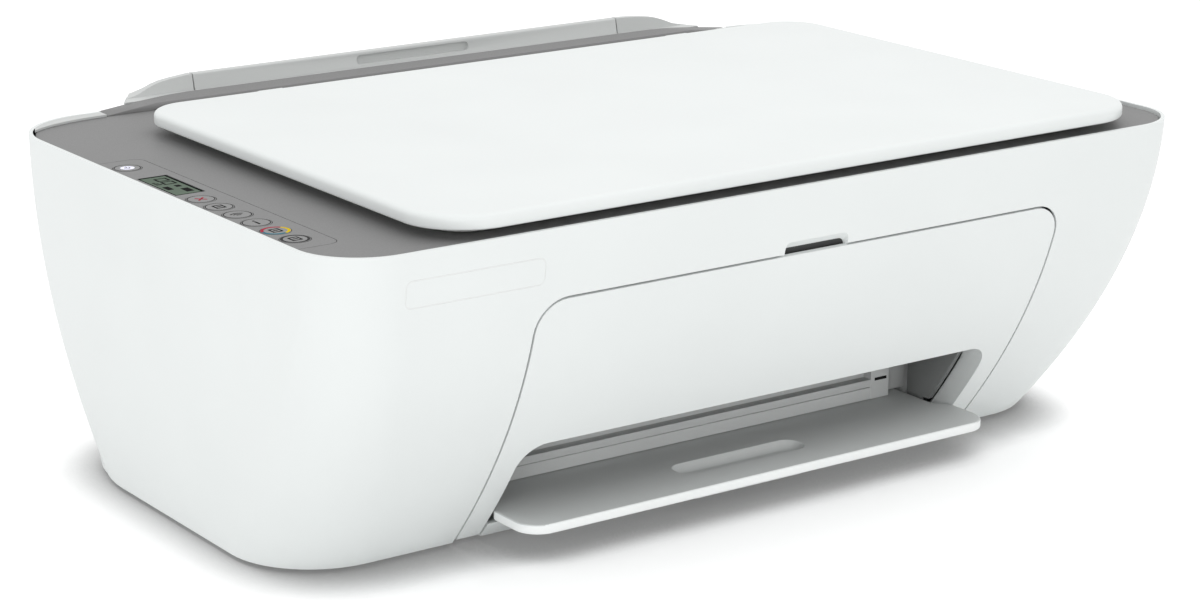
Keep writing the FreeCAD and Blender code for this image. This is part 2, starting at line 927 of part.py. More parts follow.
pick_y = bed_at(pick_height) - (pick_radius + pick_gap) / cos(lean)
pinion_y = feed_y + gear_module * (roller_teeth + pinion_teeth) / 2 * cos(radians(pinion_angle))
pinion_z = roller_axis + gear_module * (roller_teeth + pinion_teeth) / 2 * sin(radians(pinion_angle))
gear_left = -plate_x + plate_thickness + gear_offset
gear_right = gear_left + gear_width


def screw_places():
    inset = plate_foot / 2
    return [(side * (plate_x - inset), y) for side in (-1, 1) for y in (screw_front, screw_back)]


# Arms under the beam hold the shaft of the pinch rollers above the feed roller
def pinch_arm(x):
    reach = star_shaft + pinch_arm_half
    arm = box(x - pinch_arm_half, x + pinch_arm_half, feed_y - reach, beam_y + plate_thickness,
              pinch_height - star_shaft - seat_gap, beam_bottom + past)
    bend = box(x - pinch_arm_half, x + pinch_arm_half, feed_y - reach, beam_y,
               pinch_height + reach, beam_bottom + past)
    bore = rod_x(star_shaft + pin_fit, x - pinch_arm_half, x + pinch_arm_half, feed_y, pinch_height)
    return arm.cut(bend).cut(bore)


def chassis_beam():
    reach = plate_x - plate_thickness
    beam = box(-reach, reach, beam_y, beam_y + plate_thickness, beam_bottom, beam_top)
    for side in (-1, 1):
        beam = fuse(beam, pinch_arm(paper_x + side * (platen_half - pinch_arm_half)))
    for x in (-pulley_x, pulley_x):
        hole = rod_y_axis(pulley_pin + pin_fit, x, beam_y, beam_y + plate_thickness, pulley_height)
        beam = beam.cut(hole)
    return beam


# A sheet-metal cheek that stands on the pan and carries the rod, the shafts and the ends of the beam
def side_plate(side):
    outer = side * plate_x
    inner = outer - side * plate_thickness
    low, high = min(outer, inner), max(outer, inner)
    plate = prism_x([(plate_front, pan_top, 0), (plate_back, pan_top, 0),
                     (plate_far_back, plate_knee, 0), (plate_far_back, tub_bottom, 0),
                     (plate_front, tub_bottom, 0)], low, high)
    toe = outer - side * plate_foot
    for y in (screw_front, screw_back):
        tab = box(min(outer, toe), max(outer, toe), y - plate_foot / 2, y + plate_foot / 2,
                  pan_top, pan_top + plate_thickness)
        plate = fuse(plate, tab)
    for hole in plate_holes(low, high):
        plate = plate.cut(hole)
    for x, y in screw_places():
        plate = plate.cut(rod_z(screw_radius + pin_fit, x, y, pan_top, pan_top + plate_thickness))
    return plate


def left_side_plate():
    plate = side_plate(-1)
    plate = plate.cut(rod_x(gear_pin + seat_gap, -plate_x, -plate_x + plate_thickness, pinion_y, pinion_z))
    for y in transfer_places():
        plate = fuse(plate, rod_x(gear_pin, -plate_x, gear_right, y, roller_axis))
    return plate


def right_side_plate():
    plate = side_plate(1)
    for y in (board_front + standoff_inset, board_back - standoff_inset):
        for z in (pan_top + standoff_inset, board_height - standoff_inset):
            standoff = rod_x(standoff_radius, plate_x - plate_thickness, plate_x + board_standoff, y, z)
            plate = fuse(plate, standoff)
    return plate


def chassis_screws():
    screws = []
    seat = pan_top + plate_thickness
    for x, y in screw_places():
        shank = rod_z(screw_radius, x, y, pan_bottom, seat)
        screws.append(fuse(shank, rod_z(screw_head_radius, x, y, seat, seat + screw_head_height)))
    return Part.makeCompound(screws)


def carriage_rod():
    return rod_x(rod_radius, -plate_x, plate_x, rod_y, rod_height)


def carriage_span():
    return carriage_x - carriage_width / 2, carriage_x + carriage_width / 2


def cartridge_spans():
    inner = cartridge_gap / 2
    return ((carriage_x - inner - cartridge_width, carriage_x - inner),
            (carriage_x + inner, carriage_x + inner + cartridge_width))


def carriage():
    left, right = carriage_span()
    body = box(left, right, carriage_front, carriage_back, carriage_bottom, carriage_top)
    bearing = box(left, right, carriage_back, rod_y + bearing_half, rod_height - bearing_half,
                  rod_height + bearing_half)
    belt_floor = pulley_height - pulley_radius - belt_gap - belt_thickness
    clamp_y = beam_y - belt_gap - pulley_width / 2
    clamp = box(carriage_x - bearing_half, carriage_x + bearing_half, rod_y + bearing_half - clamp_depth,
                clamp_y, rod_height + bearing_half - overlap, belt_floor - belt_gap)
    holder = fuse(body, bearing, clamp)
    holder = holder.cut(rod_x(rod_radius + pin_fit, left, right, rod_y, rod_height))
    for low, high in cartridge_spans():
        holder = holder.cut(box(low - seat_gap, high + seat_gap, carriage_front + carriage_wall,
                                carriage_back - carriage_wall, carriage_bottom + carriage_wall,
                                carriage_top))
        holder = holder.cut(box(low + carriage_wall - seat_gap, high - carriage_wall + seat_gap,
                                carriage_front + nozzle_front - seat_gap,
                                carriage_back - nozzle_back + seat_gap,
                                carriage_bottom, carriage_bottom + carriage_wall))
    return holder


def cartridge(span):
    low, high = span
    tank = box(low, high, carriage_front + carriage_wall + seat_gap,
               carriage_back - carriage_wall - seat_gap, carriage_bottom + carriage_wall + seat_gap,
               carriage_top + cartridge_proud)
    nozzle = box(low + carriage_wall, high - carriage_wall, carriage_front + nozzle_front,
                 carriage_back - nozzle_back, carriage_bottom + carriage_wall - nozzle_drop,
                 carriage_bottom + carriage_wall + seat_gap)
    return fuse(tank, nozzle)


def pulley(x):
    back = beam_y - belt_gap
    wheel = rod_y_axis(pulley_radius, x, back - pulley_width, back, pulley_height)
    return fuse(wheel, rod_y_axis(pulley_pin, x, back, beam_y + plate_thickness, pulley_height))


def carriage_belt():
    middle = beam_y - belt_gap - pulley_width / 2
    front = middle - belt_width / 2
    back = middle + belt_width / 2

    def loop(radius):
        low = pulley_height - radius
        high = pulley_height + radius
        return fuse(box(-pulley_x, pulley_x, front, back, low, high),
                    rod_y_axis(radius, -pulley_x, front, back, pulley_height),
                    rod_y_axis(radius, pulley_x, front, back, pulley_height))

    inner = pulley_radius + belt_gap
    return loop(inner + belt_thickness).cut(loop(inner))


def carriage_motor():
    face = beam_y + plate_thickness
    return rod_y_axis(motor_radius, pulley_x, face, face + motor_length, pulley_height)


def encoder_strip():
    reach = plate_x - plate_thickness - seat_gap
    return box(-reach, reach, encoder_y, encoder_y + encoder_thickness, encoder_bottom,
               encoder_bottom + encoder_height)


def exit_places():
    first = -(exit_count - 1) / 2
    return [paper_x + (first + i) * exit_pitch for i in range(exit_count)]


def platen():
    left, right = paper_x - platen_half, paper_x + platen_half
    plate = box(left, right, platen_front, platen_back, platen_top - platen_thickness, platen_top)
    face = box(left, right, platen_front, platen_front + platen_thickness, tray_top + slide_gap, platen_top)
    bed = fuse(plate, face)
    for inner, side in ((left, -1), (right, 1)):
        outer = inner + side * platen_thickness
        low, high = min(inner, outer), max(inner, outer)
        front = platen_front + 2 * platen_thickness
        cheek = box(low, high, front, platen_back, pan_top, platen_top)
        post = box(low, high, front, star_bar_back, platen_top, star_bar_top)
        bed = fuse(bed, cheek, post)
        bed = bed.cut(rod_x(exit_shaft_radius + pin_fit, low, high, exit_y, roller_axis))
        bed = bed.cut(rod_x(star_shaft + pin_fit, low, high, exit_y, star_height))
    for x in exit_places():
        reach = exit_tyre_width / 2 + wheel_gap
        along = exit_radius + wheel_gap
        bed = bed.cut(box(x - reach, x + reach, exit_y - along, exit_y + along,
                          platen_top - platen_thickness, platen_top))
    return bed


# Spur gear with straight-sided teeth, one tooth pointing along the given phase angle
def gear(teeth, phase, y, z, bore):
    pitch_radius = gear_module * teeth / 2
    root = pitch_radius - dedendum * gear_module
    tip = pitch_radius + addendum * gear_module
    step = 2 * pi / teeth
    corners = []
    for i in range(teeth):
        middle = phase + i * step
        for share, radius in ((-tooth_root, root), (-tooth_tip, tip), (tooth_tip, tip), (tooth_root, root)):
            angle = middle + share * step
            corners.append(point(gear_left, y + radius * cos(angle), z + radius * sin(angle)))
    wheel = Part.Face(Part.makePolygon(corners + corners[:1])).extrude(X * gear_width)
    if bore:
        wheel = wheel.cut(rod_x(bore, gear_left, gear_right, y, z))
    return wheel


# Phase that sets a second gear's gap opposite a tooth of the first, met in the given direction
def mesh_phase(first_phase, first_teeth, second_teeth, direction):
    return direction + pi + pi / second_teeth - (first_phase - direction) * first_teeth / second_teeth


def transfer_places():
    rear_y = feed_y - gear_module * (roller_teeth + transfer_teeth) / 2
    return [rear_y - gear_module * transfer_teeth * i for i in range(transfer_count)]


feed_phase = 0.0
rear_phase = mesh_phase(feed_phase, roller_teeth, transfer_teeth, pi)
middle_phase = mesh_phase(rear_phase, transfer_teeth, transfer_teeth, pi)
front_phase = mesh_phase(middle_phase, transfer_teeth, transfer_teeth, pi)
exit_phase = mesh_phase(front_phase, transfer_teeth, roller_teeth, pi)
pinion_phase = mesh_phase(feed_phase, roller_teeth, pinion_teeth, radians(pinion_angle))


def feed_roller():
    inner = plate_x - plate_thickness
    roller = rod_x(feed_radius, gear_right, inner - seam_gap, feed_y, roller_axis)
    journal = rod_x(journal_radius, -plate_x, plate_x, feed_y, roller_axis)
    return fuse(roller, journal, gear(roller_teeth, feed_phase, feed_y, roller_axis, 0))


def exit_roller():
    end = paper_x + platen_half + 2 * platen_thickness
    shaft = rod_x(exit_shaft_radius, -plate_x, end, exit_y, roller_axis)
    roller = fuse(shaft, gear(roller_teeth, exit_phase, exit_y, roller_axis, 0))
    for x in exit_places():
        tyre = rod_x(exit_radius, x - exit_tyre_width / 2, x + exit_tyre_width / 2, exit_y, roller_axis)
        roller = fuse(roller, tyre)
    return roller


def transfer_gear(which):
    phase = (rear_phase, middle_phase, front_phase)[which]
    return gear(transfer_teeth, phase, transfer_places()[which], roller_axis, gear_pin + pin_fit)


def motor_pinion():
    shaft = rod_x(gear_pin, -plate_x - seat_gap, gear_left, pinion_y, pinion_z)
    return fuse(gear(pinion_teeth, pinion_phase, pinion_y, pinion_z, 0), shaft)


def feed_motor():
    can = rod_x(feed_motor_radius, -plate_x - feed_motor_length, -plate_x, pinion_y, pinion_z)
    return can.cut(rod_x(gear_pin + pin_fit, -plate_x - 2 * seat_gap, -plate_x, pinion_y, pinion_z))


def pinch_rollers():
    rollers = rod_x(star_shaft, paper_x - platen_half, paper_x + platen_half, feed_y, pinch_height)
    for x in exit_places():
        roller = rod_x(pinch_radius, x - exit_tyre_width, x + exit_tyre_width, feed_y, pinch_height)
        rollers = fuse(rollers, roller)
    return rollers


def star_wheel_bar():
    half = platen_half - seat_gap
    bar = box(paper_x - half, paper_x + half, star_bar_front, star_bar_back, star_bar_bottom, star_bar_top)
    for x in exit_places():
        reach = star_thickness + wheel_gap
        along = star_radius + wheel_gap
        bar = bar.cut(box(x - reach, x + reach, exit_y - along, exit_y + along,
                          star_bar_bottom, star_height + along))
    return bar


def star_wheels():
    reach = platen_half + platen_thickness
    wheels = rod_x(star_shaft, paper_x - reach, paper_x + reach, exit_y, star_height)
    for x in exit_places():
        wheels = fuse(wheels, rod_x(star_radius, x - star_thickness / 2, x + star_thickness / 2,
                                    exit_y, star_height))
    return wheels


def pick_roller():
    roller = rod_x(pick_shaft, -plate_x, plate_x, pick_y, pick_height)
    for x in (hopper_x - pick_spread, hopper_x + pick_spread):
        roller = fuse(roller, rod_x(pick_radius, x - pick_tyre_width / 2, x + pick_tyre_width / 2,
                                    pick_y, pick_height))
    return roller


def main_board():
    left = plate_x + board_standoff
    return box(left, left + board_thickness, board_front, board_back, pan_top + seat_gap, board_height)


def power_supply():
    return box(supply_left, supply_right, supply_front, supply_back, pan_top, pan_top + supply_height)


# Sockets stand behind the rear cover, their mouths facing backwards
def socket(x, wide, tall, mouth_wide, mouth_tall):
    low, high = inlet_height - tall / 2, inlet_height + tall / 2
    back = socket_face()
    body = box(x - wide / 2, x + wide / 2, back - socket_length, back, low, high)
    mouth = box(x - mouth_wide / 2, x + mouth_wide / 2, back - inlet_depth, back,
                inlet_height - mouth_tall / 2, inlet_height + mouth_tall / 2)
    return body.cut(mouth)


def socket_face():
    low, high = rear_outline(0)[1], rear_outline(0)[2]
    share = (inlet_height - inlet_tall / 2 - low[1]) / (high[1] - low[1])
    return low[0] + (high[0] - low[0]) * share - socket_recess


def power_inlet():
    inlet = socket(inlet_x, inlet_width, inlet_tall, inlet_mouth_width, inlet_mouth_tall)
    back = socket_face()
    for side in (-1, 1):
        x = inlet_x + side * inlet_pin_pitch / 2
        pin = rod_y_axis(inlet_pin_radius, x, back - inlet_depth - overlap, back - 2 * socket_recess,
                         inlet_height)
        inlet = fuse(inlet, pin)
    return inlet


def usb_socket():
    body = socket(usb_x, usb_width, usb_tall, usb_mouth_width, usb_mouth_tall)
    back = socket_face()
    half = usb_tongue / 2
    tongue = box(usb_x - usb_tongue, usb_x + usb_tongue, back - inlet_depth - overlap,
                 back - 2 * socket_recess, inlet_height - half, inlet_height + half)
    return fuse(body, tongue)


def service_station():
    left = paper_x + platen_half + 2 * platen_thickness + seam_gap
    station = box(left, station_right, station_front, station_back, pan_top, station_top)
    hollow = box(left + cap_wall, station_right - cap_wall, station_front + cap_wall,
                 station_back - cap_wall, roller_axis, station_top)
    return station.cut(hollow)


def absorber_pad():
    return box(-absorber_half, absorber_half, absorber_front, absorber_back,
               pan_top, pan_top + absorber_height)


nodes = {
    "outer_shell": outer_shell(), "base_pan": base_pan(), "rubber_feet": rubber_feet(),
    "front_door": front_door(), "output_tray": output_tray(),
    "top_deck": top_deck(), "control_panel": control_panel(), "display": display(),
    "control_board": control_board(),
    "scanner_lid": scanner_lid(), "lid_pad": lid_pad(), "hinge_blocks": hinge_blocks(),
    "scanner_tub": scanner_tub(), "platen_glass": platen_glass(), "scan_bar": scan_bar(),
    "scan_rail": scan_rail(),
    "slot_cover": slot_cover(), "rear_cover": rear_cover(), "left_wing": left_wing(),
    "right_wing": right_wing(), "paper_support": paper_support(), "hopper_bed": hopper_bed(),
    "left_width_guide": width_guide(-1), "right_width_guide": width_guide(1),
    "chassis_beam": chassis_beam(),
    "side_plates": Part.makeCompound([left_side_plate(), right_side_plate()]),
    "chassis_screws": chassis_screws(),
    "carriage_rod": carriage_rod(),
    "carriage": carriage(),
    "ink_cartridges": Part.makeCompound([cartridge(span) for span in cartridge_spans()]),
    "motor_pulley": pulley(pulley_x), "idler_pulley": pulley(-pulley_x), "carriage_belt": carriage_belt(),
    "carriage_motor": carriage_motor(), "encoder_strip": encoder_strip(),
    "platen": platen(), "feed_roller": feed_roller(), "exit_roller": exit_roller(),
    "rear_transfer_gear": transfer_gear(0), "middle_transfer_gear": transfer_gear(1),
    "front_transfer_gear": transfer_gear(2), "motor_pinion": motor_pinion(), "feed_motor": feed_motor(),
    "pinch_rollers": pinch_rollers(),
    "star_wheel_bar": star_wheel_bar(), "star_wheels": star_wheels(), "pick_roller": pick_roller(),
    "main_board": main_board(), "power_supply": power_supply(), "power_inlet": power_inlet(),
    "usb_socket": usb_socket(), "service_station": service_station(), "absorber_pad": absorber_pad(),
}
for name, y in button_y.items():
    nodes[name] = button(y)

os.makedirs("parts", exist_ok=True)
for name, shape in nodes.items():
    shape.exportStep("parts/" + name + ".step")
    print(name, len(shape.Solids), round(shape.Volume), shape.isValid())
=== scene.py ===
import bpy
import bmesh
import json
import math
from mathutils import Matrix, Vector


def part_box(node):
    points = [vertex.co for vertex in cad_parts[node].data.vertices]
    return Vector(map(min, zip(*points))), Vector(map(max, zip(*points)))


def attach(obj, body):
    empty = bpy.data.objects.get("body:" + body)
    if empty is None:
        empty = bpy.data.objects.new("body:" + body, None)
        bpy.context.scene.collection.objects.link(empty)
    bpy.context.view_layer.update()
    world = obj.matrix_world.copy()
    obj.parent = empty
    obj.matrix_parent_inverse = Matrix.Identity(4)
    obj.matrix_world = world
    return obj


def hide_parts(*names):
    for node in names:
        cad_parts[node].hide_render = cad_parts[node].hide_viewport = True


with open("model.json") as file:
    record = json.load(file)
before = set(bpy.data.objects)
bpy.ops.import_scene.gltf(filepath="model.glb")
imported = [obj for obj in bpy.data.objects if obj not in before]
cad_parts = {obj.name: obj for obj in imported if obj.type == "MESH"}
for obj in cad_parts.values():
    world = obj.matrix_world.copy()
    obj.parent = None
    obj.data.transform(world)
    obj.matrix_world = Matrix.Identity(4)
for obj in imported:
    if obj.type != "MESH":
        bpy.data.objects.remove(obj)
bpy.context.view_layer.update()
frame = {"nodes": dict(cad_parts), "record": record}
cadNodes = frame["nodes"]
# sizes are written in millimetres and turned into metres by this factor
mm = 0.001
print("frame loaded:", len(cadNodes), "nodes")


# finishes: every one is procedural and reads Object coordinates
usedNoise = (0.3, 0.7)
roughSwing = 0.05


def newFinish(name):
    finish = bpy.data.materials.new(name)
    finish.use_nodes = True
    tree = finish.node_tree
    return finish, tree, tree.nodes["Principled BSDF"]


def objectNoise(tree, scale, detail=2.0, stretch=(1, 1, 1)):
    coord = tree.nodes.new("ShaderNodeTexCoord")
    mapping = tree.nodes.new("ShaderNodeMapping")
    mapping.inputs["Scale"].default_value = stretch
    noise = tree.nodes.new("ShaderNodeTexNoise")
    noise.inputs["Scale"].default_value = scale
    noise.inputs["Detail"].default_value = detail
    tree.links.new(coord.outputs["Object"], mapping.inputs["Vector"])
    tree.links.new(mapping.outputs["Vector"], noise.inputs["Vector"])
    return noise.outputs["Fac"]


# maps the used part of a noise to a range
def spread(tree, value, low, high):
    node = tree.nodes.new("ShaderNodeMapRange")
    node.inputs["From Min"].default_value = usedNoise[0]
    node.inputs["From Max"].default_value = usedNoise[1]
    node.inputs["To Min"].default_value = low
    node.inputs["To Max"].default_value = high
    tree.links.new(value, node.inputs["Value"])
    return node.outputs["Result"]


def blendColour(tree, value, first, second):
    ramp = tree.nodes.new("ShaderNodeValToRGB")
    for element, position, colour in zip(ramp.color_ramp.elements, usedNoise, (first, second)):
        element.position = position
        element.color = (*colour, 1)
    tree.links.new(value, ramp.inputs["Fac"])
    return ramp.outputs["Color"]


def addBump(tree, shader, value, strength, depth):
    bump = tree.nodes.new("ShaderNodeBump")
    bump.inputs["Strength"].default_value = strength
    bump.inputs["Distance"].default_value = depth
    tree.links.new(value, bump.inputs["Height"])
    tree.links.new(bump.outputs["Normal"], shader.inputs["Normal"])


def shade(colour, factor):
    return tuple(min(1.0, c * factor) for c in colour)


def mouldedPlastic(name, look):
    finish, tree, shader = newFinish(name)
    grain = objectNoise(tree, look["grain"], 3.0)
    cloud = objectNoise(tree, look.get("cloud", 14.0), 2.0)
    vary = look.get("vary", 0.012)
    colour = blendColour(tree, cloud, shade(look["colour"], 1 - vary), shade(look["colour"], 1 + vary))
    tree.links.new(colour, shader.inputs["Base Color"])
    rough = look["roughness"]
    tree.links.new(spread(tree, grain, rough - roughSwing, rough + roughSwing), shader.inputs["Roughness"])
    shader.inputs["Specular IOR Level"].default_value = look.get("specular", 0.4)
    addBump(tree, shader, grain, look.get("bump", 0.25), look["depth"])
    return finish


def brushedMetal(name, look):
    finish, tree, shader = newFinish(name)
    lines = objectNoise(tree, look["grain"], 4.0, look["stretch"])
    colour = blendColour(tree, lines, *(shade(look["colour"], factor) for factor in look["shades"]))
    tree.links.new(colour, shader.inputs["Base Color"])
    tree.links.new(spread(tree, lines, *look["roughness"]), shader.inputs["Roughness"])
    shader.inputs["Metallic"].default_value = 1.0
    addBump(tree, shader, lines, look["bump"], look["depth"])
    return finish


def spangledSheet(name, look):
    finish, tree, shader = newFinish(name)
    coord = tree.nodes.new("ShaderNodeTexCoord")
    cells = tree.nodes.new("ShaderNodeTexVoronoi")
    cells.inputs["Scale"].default_value = look["grain"]
    tree.links.new(coord.outputs["Object"], cells.inputs["Vector"])
    spangle = cells.outputs["Distance"]
    colour = blendColour(tree, spangle, *(shade(look["colour"], factor) for factor in look["shades"]))
    tree.links.new(colour, shader.inputs["Base Color"])
    tree.links.new(spread(tree, spangle, *look["roughness"]), shader.inputs["Roughness"])
    shader.inputs["Metallic"].default_value = 1.0
    addBump(tree, shader, spangle, look["bump"], look["depth"])
    return finish


def clearGlass(name, look):
    finish, tree, shader = newFinish(name)
    smear = objectNoise(tree, look["smear"], 3.0)
    colour = blendColour(tree, smear, look["colour"], shade(look["colour"], look["lighter"]))
    tree.links.new(colour, shader.inputs["Base Color"])
    tree.links.new(spread(tree, smear, *look["roughness"]), shader.inputs["Roughness"])
    shader.inputs["Transmission Weight"].default_value = look["clear"]
    shader.inputs["IOR"].default_value = look["bend"]
    return finish


def circuitBoard(name, look):
    finish, tree, shader = newFinish(name)
    coord = tree.nodes.new("ShaderNodeTexCoord")
    tracks = tree.nodes.new("ShaderNodeTexVoronoi")
    tracks.distance = "MANHATTAN"
    tracks.inputs["Scale"].default_value = look["grain"]
    tree.links.new(coord.outputs["Object"], tracks.inputs["Vector"])
    copper = tracks.outputs["Distance"]
    colour = blendColour(tree, copper, shade(look["colour"], look["lighter"]), look["colour"])
    tree.links.new(colour, shader.inputs["Base Color"])
    shader.inputs["Roughness"].default_value = look["roughness"]
    addBump(tree, shader, copper, look["bump"], look["depth"])
    return finish


def glowingLamp(name, look):
    finish, tree, shader = newFinish(name)
    cloud = objectNoise(tree, look["cloud"], 1.0)
    colour = blendColour(tree, cloud, shade(look["colour"], look["darker"]), look["colour"])
    tree.links.new(colour, shader.inputs["Base Color"])
    shader.inputs["Roughness"].default_value = look["roughness"]
    shader.inputs["Emission Color"].default_value = (*look["glow"], 1)
    shader.inputs["Emission Strength"].default_value = look["strength"]
    return finish


whiteLook = dict(colour=(0.722, 0.748, 0.742), roughness=0.42, grain=1500.0, depth=0.00003)
greyLook = dict(colour=(0.198, 0.198, 0.198), specular=0.25, roughness=0.5, grain=1500.0, depth=0.00004)
lightGreyLook = dict(colour=(0.53, 0.543, 0.537), specular=0.3, roughness=0.45, grain=1500.0, depth=0.00003)
inkLook = dict(specular=0.0, roughness=0.6, grain=1500.0, depth=0.00001, vary=0.05)
# slot of the record: name of the finish and its look
plasticLooks = {
    "white_plastic": ("whitePlastic", whiteLook),
    "grey_plastic": ("greyPlastic", greyLook),
    "light_grey_plastic": ("lightGreyPlastic", lightGreyLook),
    "tray_plastic": ("trayPlastic", dict(whiteLook, colour=(0.84, 0.86, 0.855))),
    "black_plastic": ("blackPlastic", dict(
        colour=(0.022, 0.022, 0.024), roughness=0.4, grain=1200.0, depth=0.00005, vary=0.1)),
    "dark_grey_plastic": ("darkGreyPlastic", dict(
        colour=(0.075, 0.077, 0.08), roughness=0.5, grain=1100.0, depth=0.00006, vary=0.05)),
    "button_plastic": ("buttonPlastic", dict(
        colour=(0.21, 0.21, 0.21), specular=0.25, roughness=0.45, grain=1800.0, depth=0.00002)),
    "screen": ("screenBorder", dict(
        colour=(0.012, 0.015, 0.013), roughness=0.5, grain=600.0, depth=0.00001, vary=0.1, specular=0.0)),
    "pad_foam": ("padFoam", dict(
        colour=(0.8, 0.8, 0.79), roughness=0.8, grain=900.0, depth=0.0001, bump=0.5)),
    "rubber": ("rollerRubber", dict(
        colour=(0.03, 0.03, 0.03), roughness=0.75, grain=900.0, depth=0.0001, vary=0.12, bump=0.5)),
    "gear_plastic": ("gearPlastic", dict(
        colour=(0.72, 0.71, 0.65), roughness=0.4, grain=1000.0, depth=0.00003, vary=0.03)),
    "felt": ("wasteFelt", dict(
        colour=(0.66, 0.66, 0.63), roughness=0.95, grain=1400.0, depth=0.0003, vary=0.08, bump=0.8)),
    "film": ("encoderFilm", dict(
        colour=(0.33, 0.34, 0.34), roughness=0.2, grain=800.0, depth=0.00001, vary=0.05)),
}
finishes = {slot: mouldedPlastic(*row) for slot, row in plasticLooks.items()}
finishes["steel"] = brushedMetal("turnedSteel", dict(
    colour=(0.62, 0.62, 0.63), shades=(0.9, 1.06), roughness=(0.2, 0.38), grain=40.0, stretch=(1, 60, 60),
    bump=0.15, depth=0.00004))
finishes["zinc_sheet"] = spangledSheet("zincSheet", dict(
    colour=(0.55, 0.56, 0.57), shades=(1.08, 0.88), roughness=(0.3, 0.5), grain=220.0, bump=0.1, depth=0.00005))
finishes["glass"] = clearGlass("scanGlass", dict(
    colour=(0.86, 0.93, 0.91), lighter=1.04, smear=25.0, roughness=(0.02, 0.06), clear=0.9, bend=1.5))
finishes["board"] = circuitBoard("circuitBoard", dict(
    colour=(0.025, 0.12, 0.05), lighter=1.5, grain=260.0, roughness=0.35, bump=0.2, depth=0.00005))
# finishes that are no slot of the record
extraLooks = {
    "screenGlass": dict(colour=(0.13, 0.165, 0.132), roughness=0.5, grain=700.0, depth=0.00001, vary=0.05,
                        specular=0.0),
    "iconDark": dict(inkLook, colour=(0.02, 0.02, 0.02)),
    "iconPale": dict(inkLook, colour=(0.06, 0.06, 0.06)),
    "iconRed": dict(inkLook, colour=(0.36, 0.045, 0.07)),
    "iconYellow": dict(inkLook, colour=(0.62, 0.45, 0.02)),
    "iconTeal": dict(inkLook, colour=(0.035, 0.17, 0.23)),
    # grain of the tray's paper side, with painted shade: the tray's white is made darker there
    "trayGrainAndShade": dict(whiteLook, colour=(0.62, 0.638, 0.632), roughness=0.6, specular=0.2, grain=900.0,
                      depth=0.00005),
    # painted shade: the white plastic inside the outlet, coloured grey
    "insidePaintedShade": dict(greyLook, colour=(0.2, 0.206, 0.204)),
    "platenLight": dict(lightGreyLook, colour=(0.66, 0.675, 0.67)),
    # painted shade: the white wall at the back of the door notch, coloured dark grey
    "notchPaintedShade": dict(greyLook, colour=(0.07, 0.072, 0.072), specular=0.1),
    "frameLine": dict(whiteLook, colour=(0.72, 0.735, 0.73)),
}
extraFinishes = {name: mouldedPlastic(name, look) for name, look in extraLooks.items()}
extraFinishes["powerLamp"] = glowingLamp("powerLamp", dict(
    colour=(0.62, 0.62, 0.75), darker=0.94, cloud=500.0, roughness=0.35, glow=(0.85, 0.85, 1.0), strength=0.32))
slotOf = {row["node"]: row["material_slot"] for row in frame["record"]["subparts"]}
for nodeName, nodeObject in cadNodes.items():
    nodeObject.data.materials.clear()
    nodeObject.data.materials.append(finishes[slotOf[nodeName]])
print("finishes made:", len(finishes) + len(extraFinishes))


# mesh helpers
touching = 1e-6


# makes the object, gives it its edge rounding, ties it to its body and hides the CAD node it stands in for
def finishPiece(bm, name, node, body, materials, bevel=0.0, steps=2, smooth=True, angle=35):
    mesh = bpy.data.meshes.new(name)
    bm.to_mesh(mesh)
    bm.free()
    for material in materials:
        mesh.materials.append(material)
    piece = bpy.data.objects.new(name, mesh)
    bpy.context.scene.collection.objects.link(piece)
    if smooth:
        for polygon in mesh.polygons:
            polygon.use_smooth = True
    if bevel:
        soften = piece.modifiers.new("edges", "BEVEL")
        soften.width = bevel * mm
        soften.segments = steps
        soften.limit_method = "ANGLE"
        soften.angle_limit = math.radians(angle)
        soften.harden_normals = True
        soften.material = -1
    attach(piece, body)
    if node:
        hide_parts(node)
    return piece


# gives a skin its thickness, inwards and before the edges are rounded
def addWall(piece, thickness):
    wall = piece.modifiers.new("wall", "SOLIDIFY")
    wall.thickness = thickness * mm
    wall.offset = -1
    wall.use_even_offset = True
    wall.use_quality_normals = True
    piece.modifiers.move(len(piece.modifiers) - 1, 0)


def vertsOf(made):
    return [g for g in made["geom"] if isinstance(g, bmesh.types.BMVert)]


# draws a free face along a way into a closed block
def pullFace(bm, face, way):
    made = bmesh.ops.extrude_face_region(bm, geom=[face])
    bmesh.ops.translate(bm, verts=vertsOf(made), vec=Vector(way) * mm)


def roundOff(bm, geom, width, segments, affect="EDGES"):
    bmesh.ops.bevel(bm, geom=geom, offset=width * mm, offset_type="OFFSET", segments=segments, profile=0.5,
                    affect=affect, material=-1)


# turns all faces round if the probe looks the wrong way
def faceOut(bm, probe, way):
    bmesh.ops.recalc_face_normals(bm, faces=bm.faces)
    if probe.normal.dot(Vector(way)) < 0:
        bmesh.ops.reverse_faces(bm, faces=bm.faces)


def cadCopy(node):
    bm = bmesh.new()
    bm.from_mesh(cadNodes[node].data)
    bmesh.ops.remove_doubles(bm, verts=bm.verts, dist=touching)
    return bm


def joinFlats(bm):
    bmesh.ops.dissolve_limit(bm, angle_limit=math.radians(0.5), verts=bm.verts, edges=bm.edges)


# cuts the chosen faces along a plane
def sliceFaces(bm, chosen, place, normal):
    faces = [f for f in bm.faces if chosen(f.calc_center_median())]
    edges = list({e for f in faces for e in f.edges})
    verts = list({v for f in faces for v in f.verts})
    bmesh.ops.bisect_plane(bm, geom=verts + edges + faces, dist=1e-7, plane_co=place, plane_no=normal)


def dropFaces(bm, chosen):
    faces = [f for f in bm.faces if chosen(f.calc_center_median())]
    bmesh.ops.delete(bm, geom=faces, context="FACES")


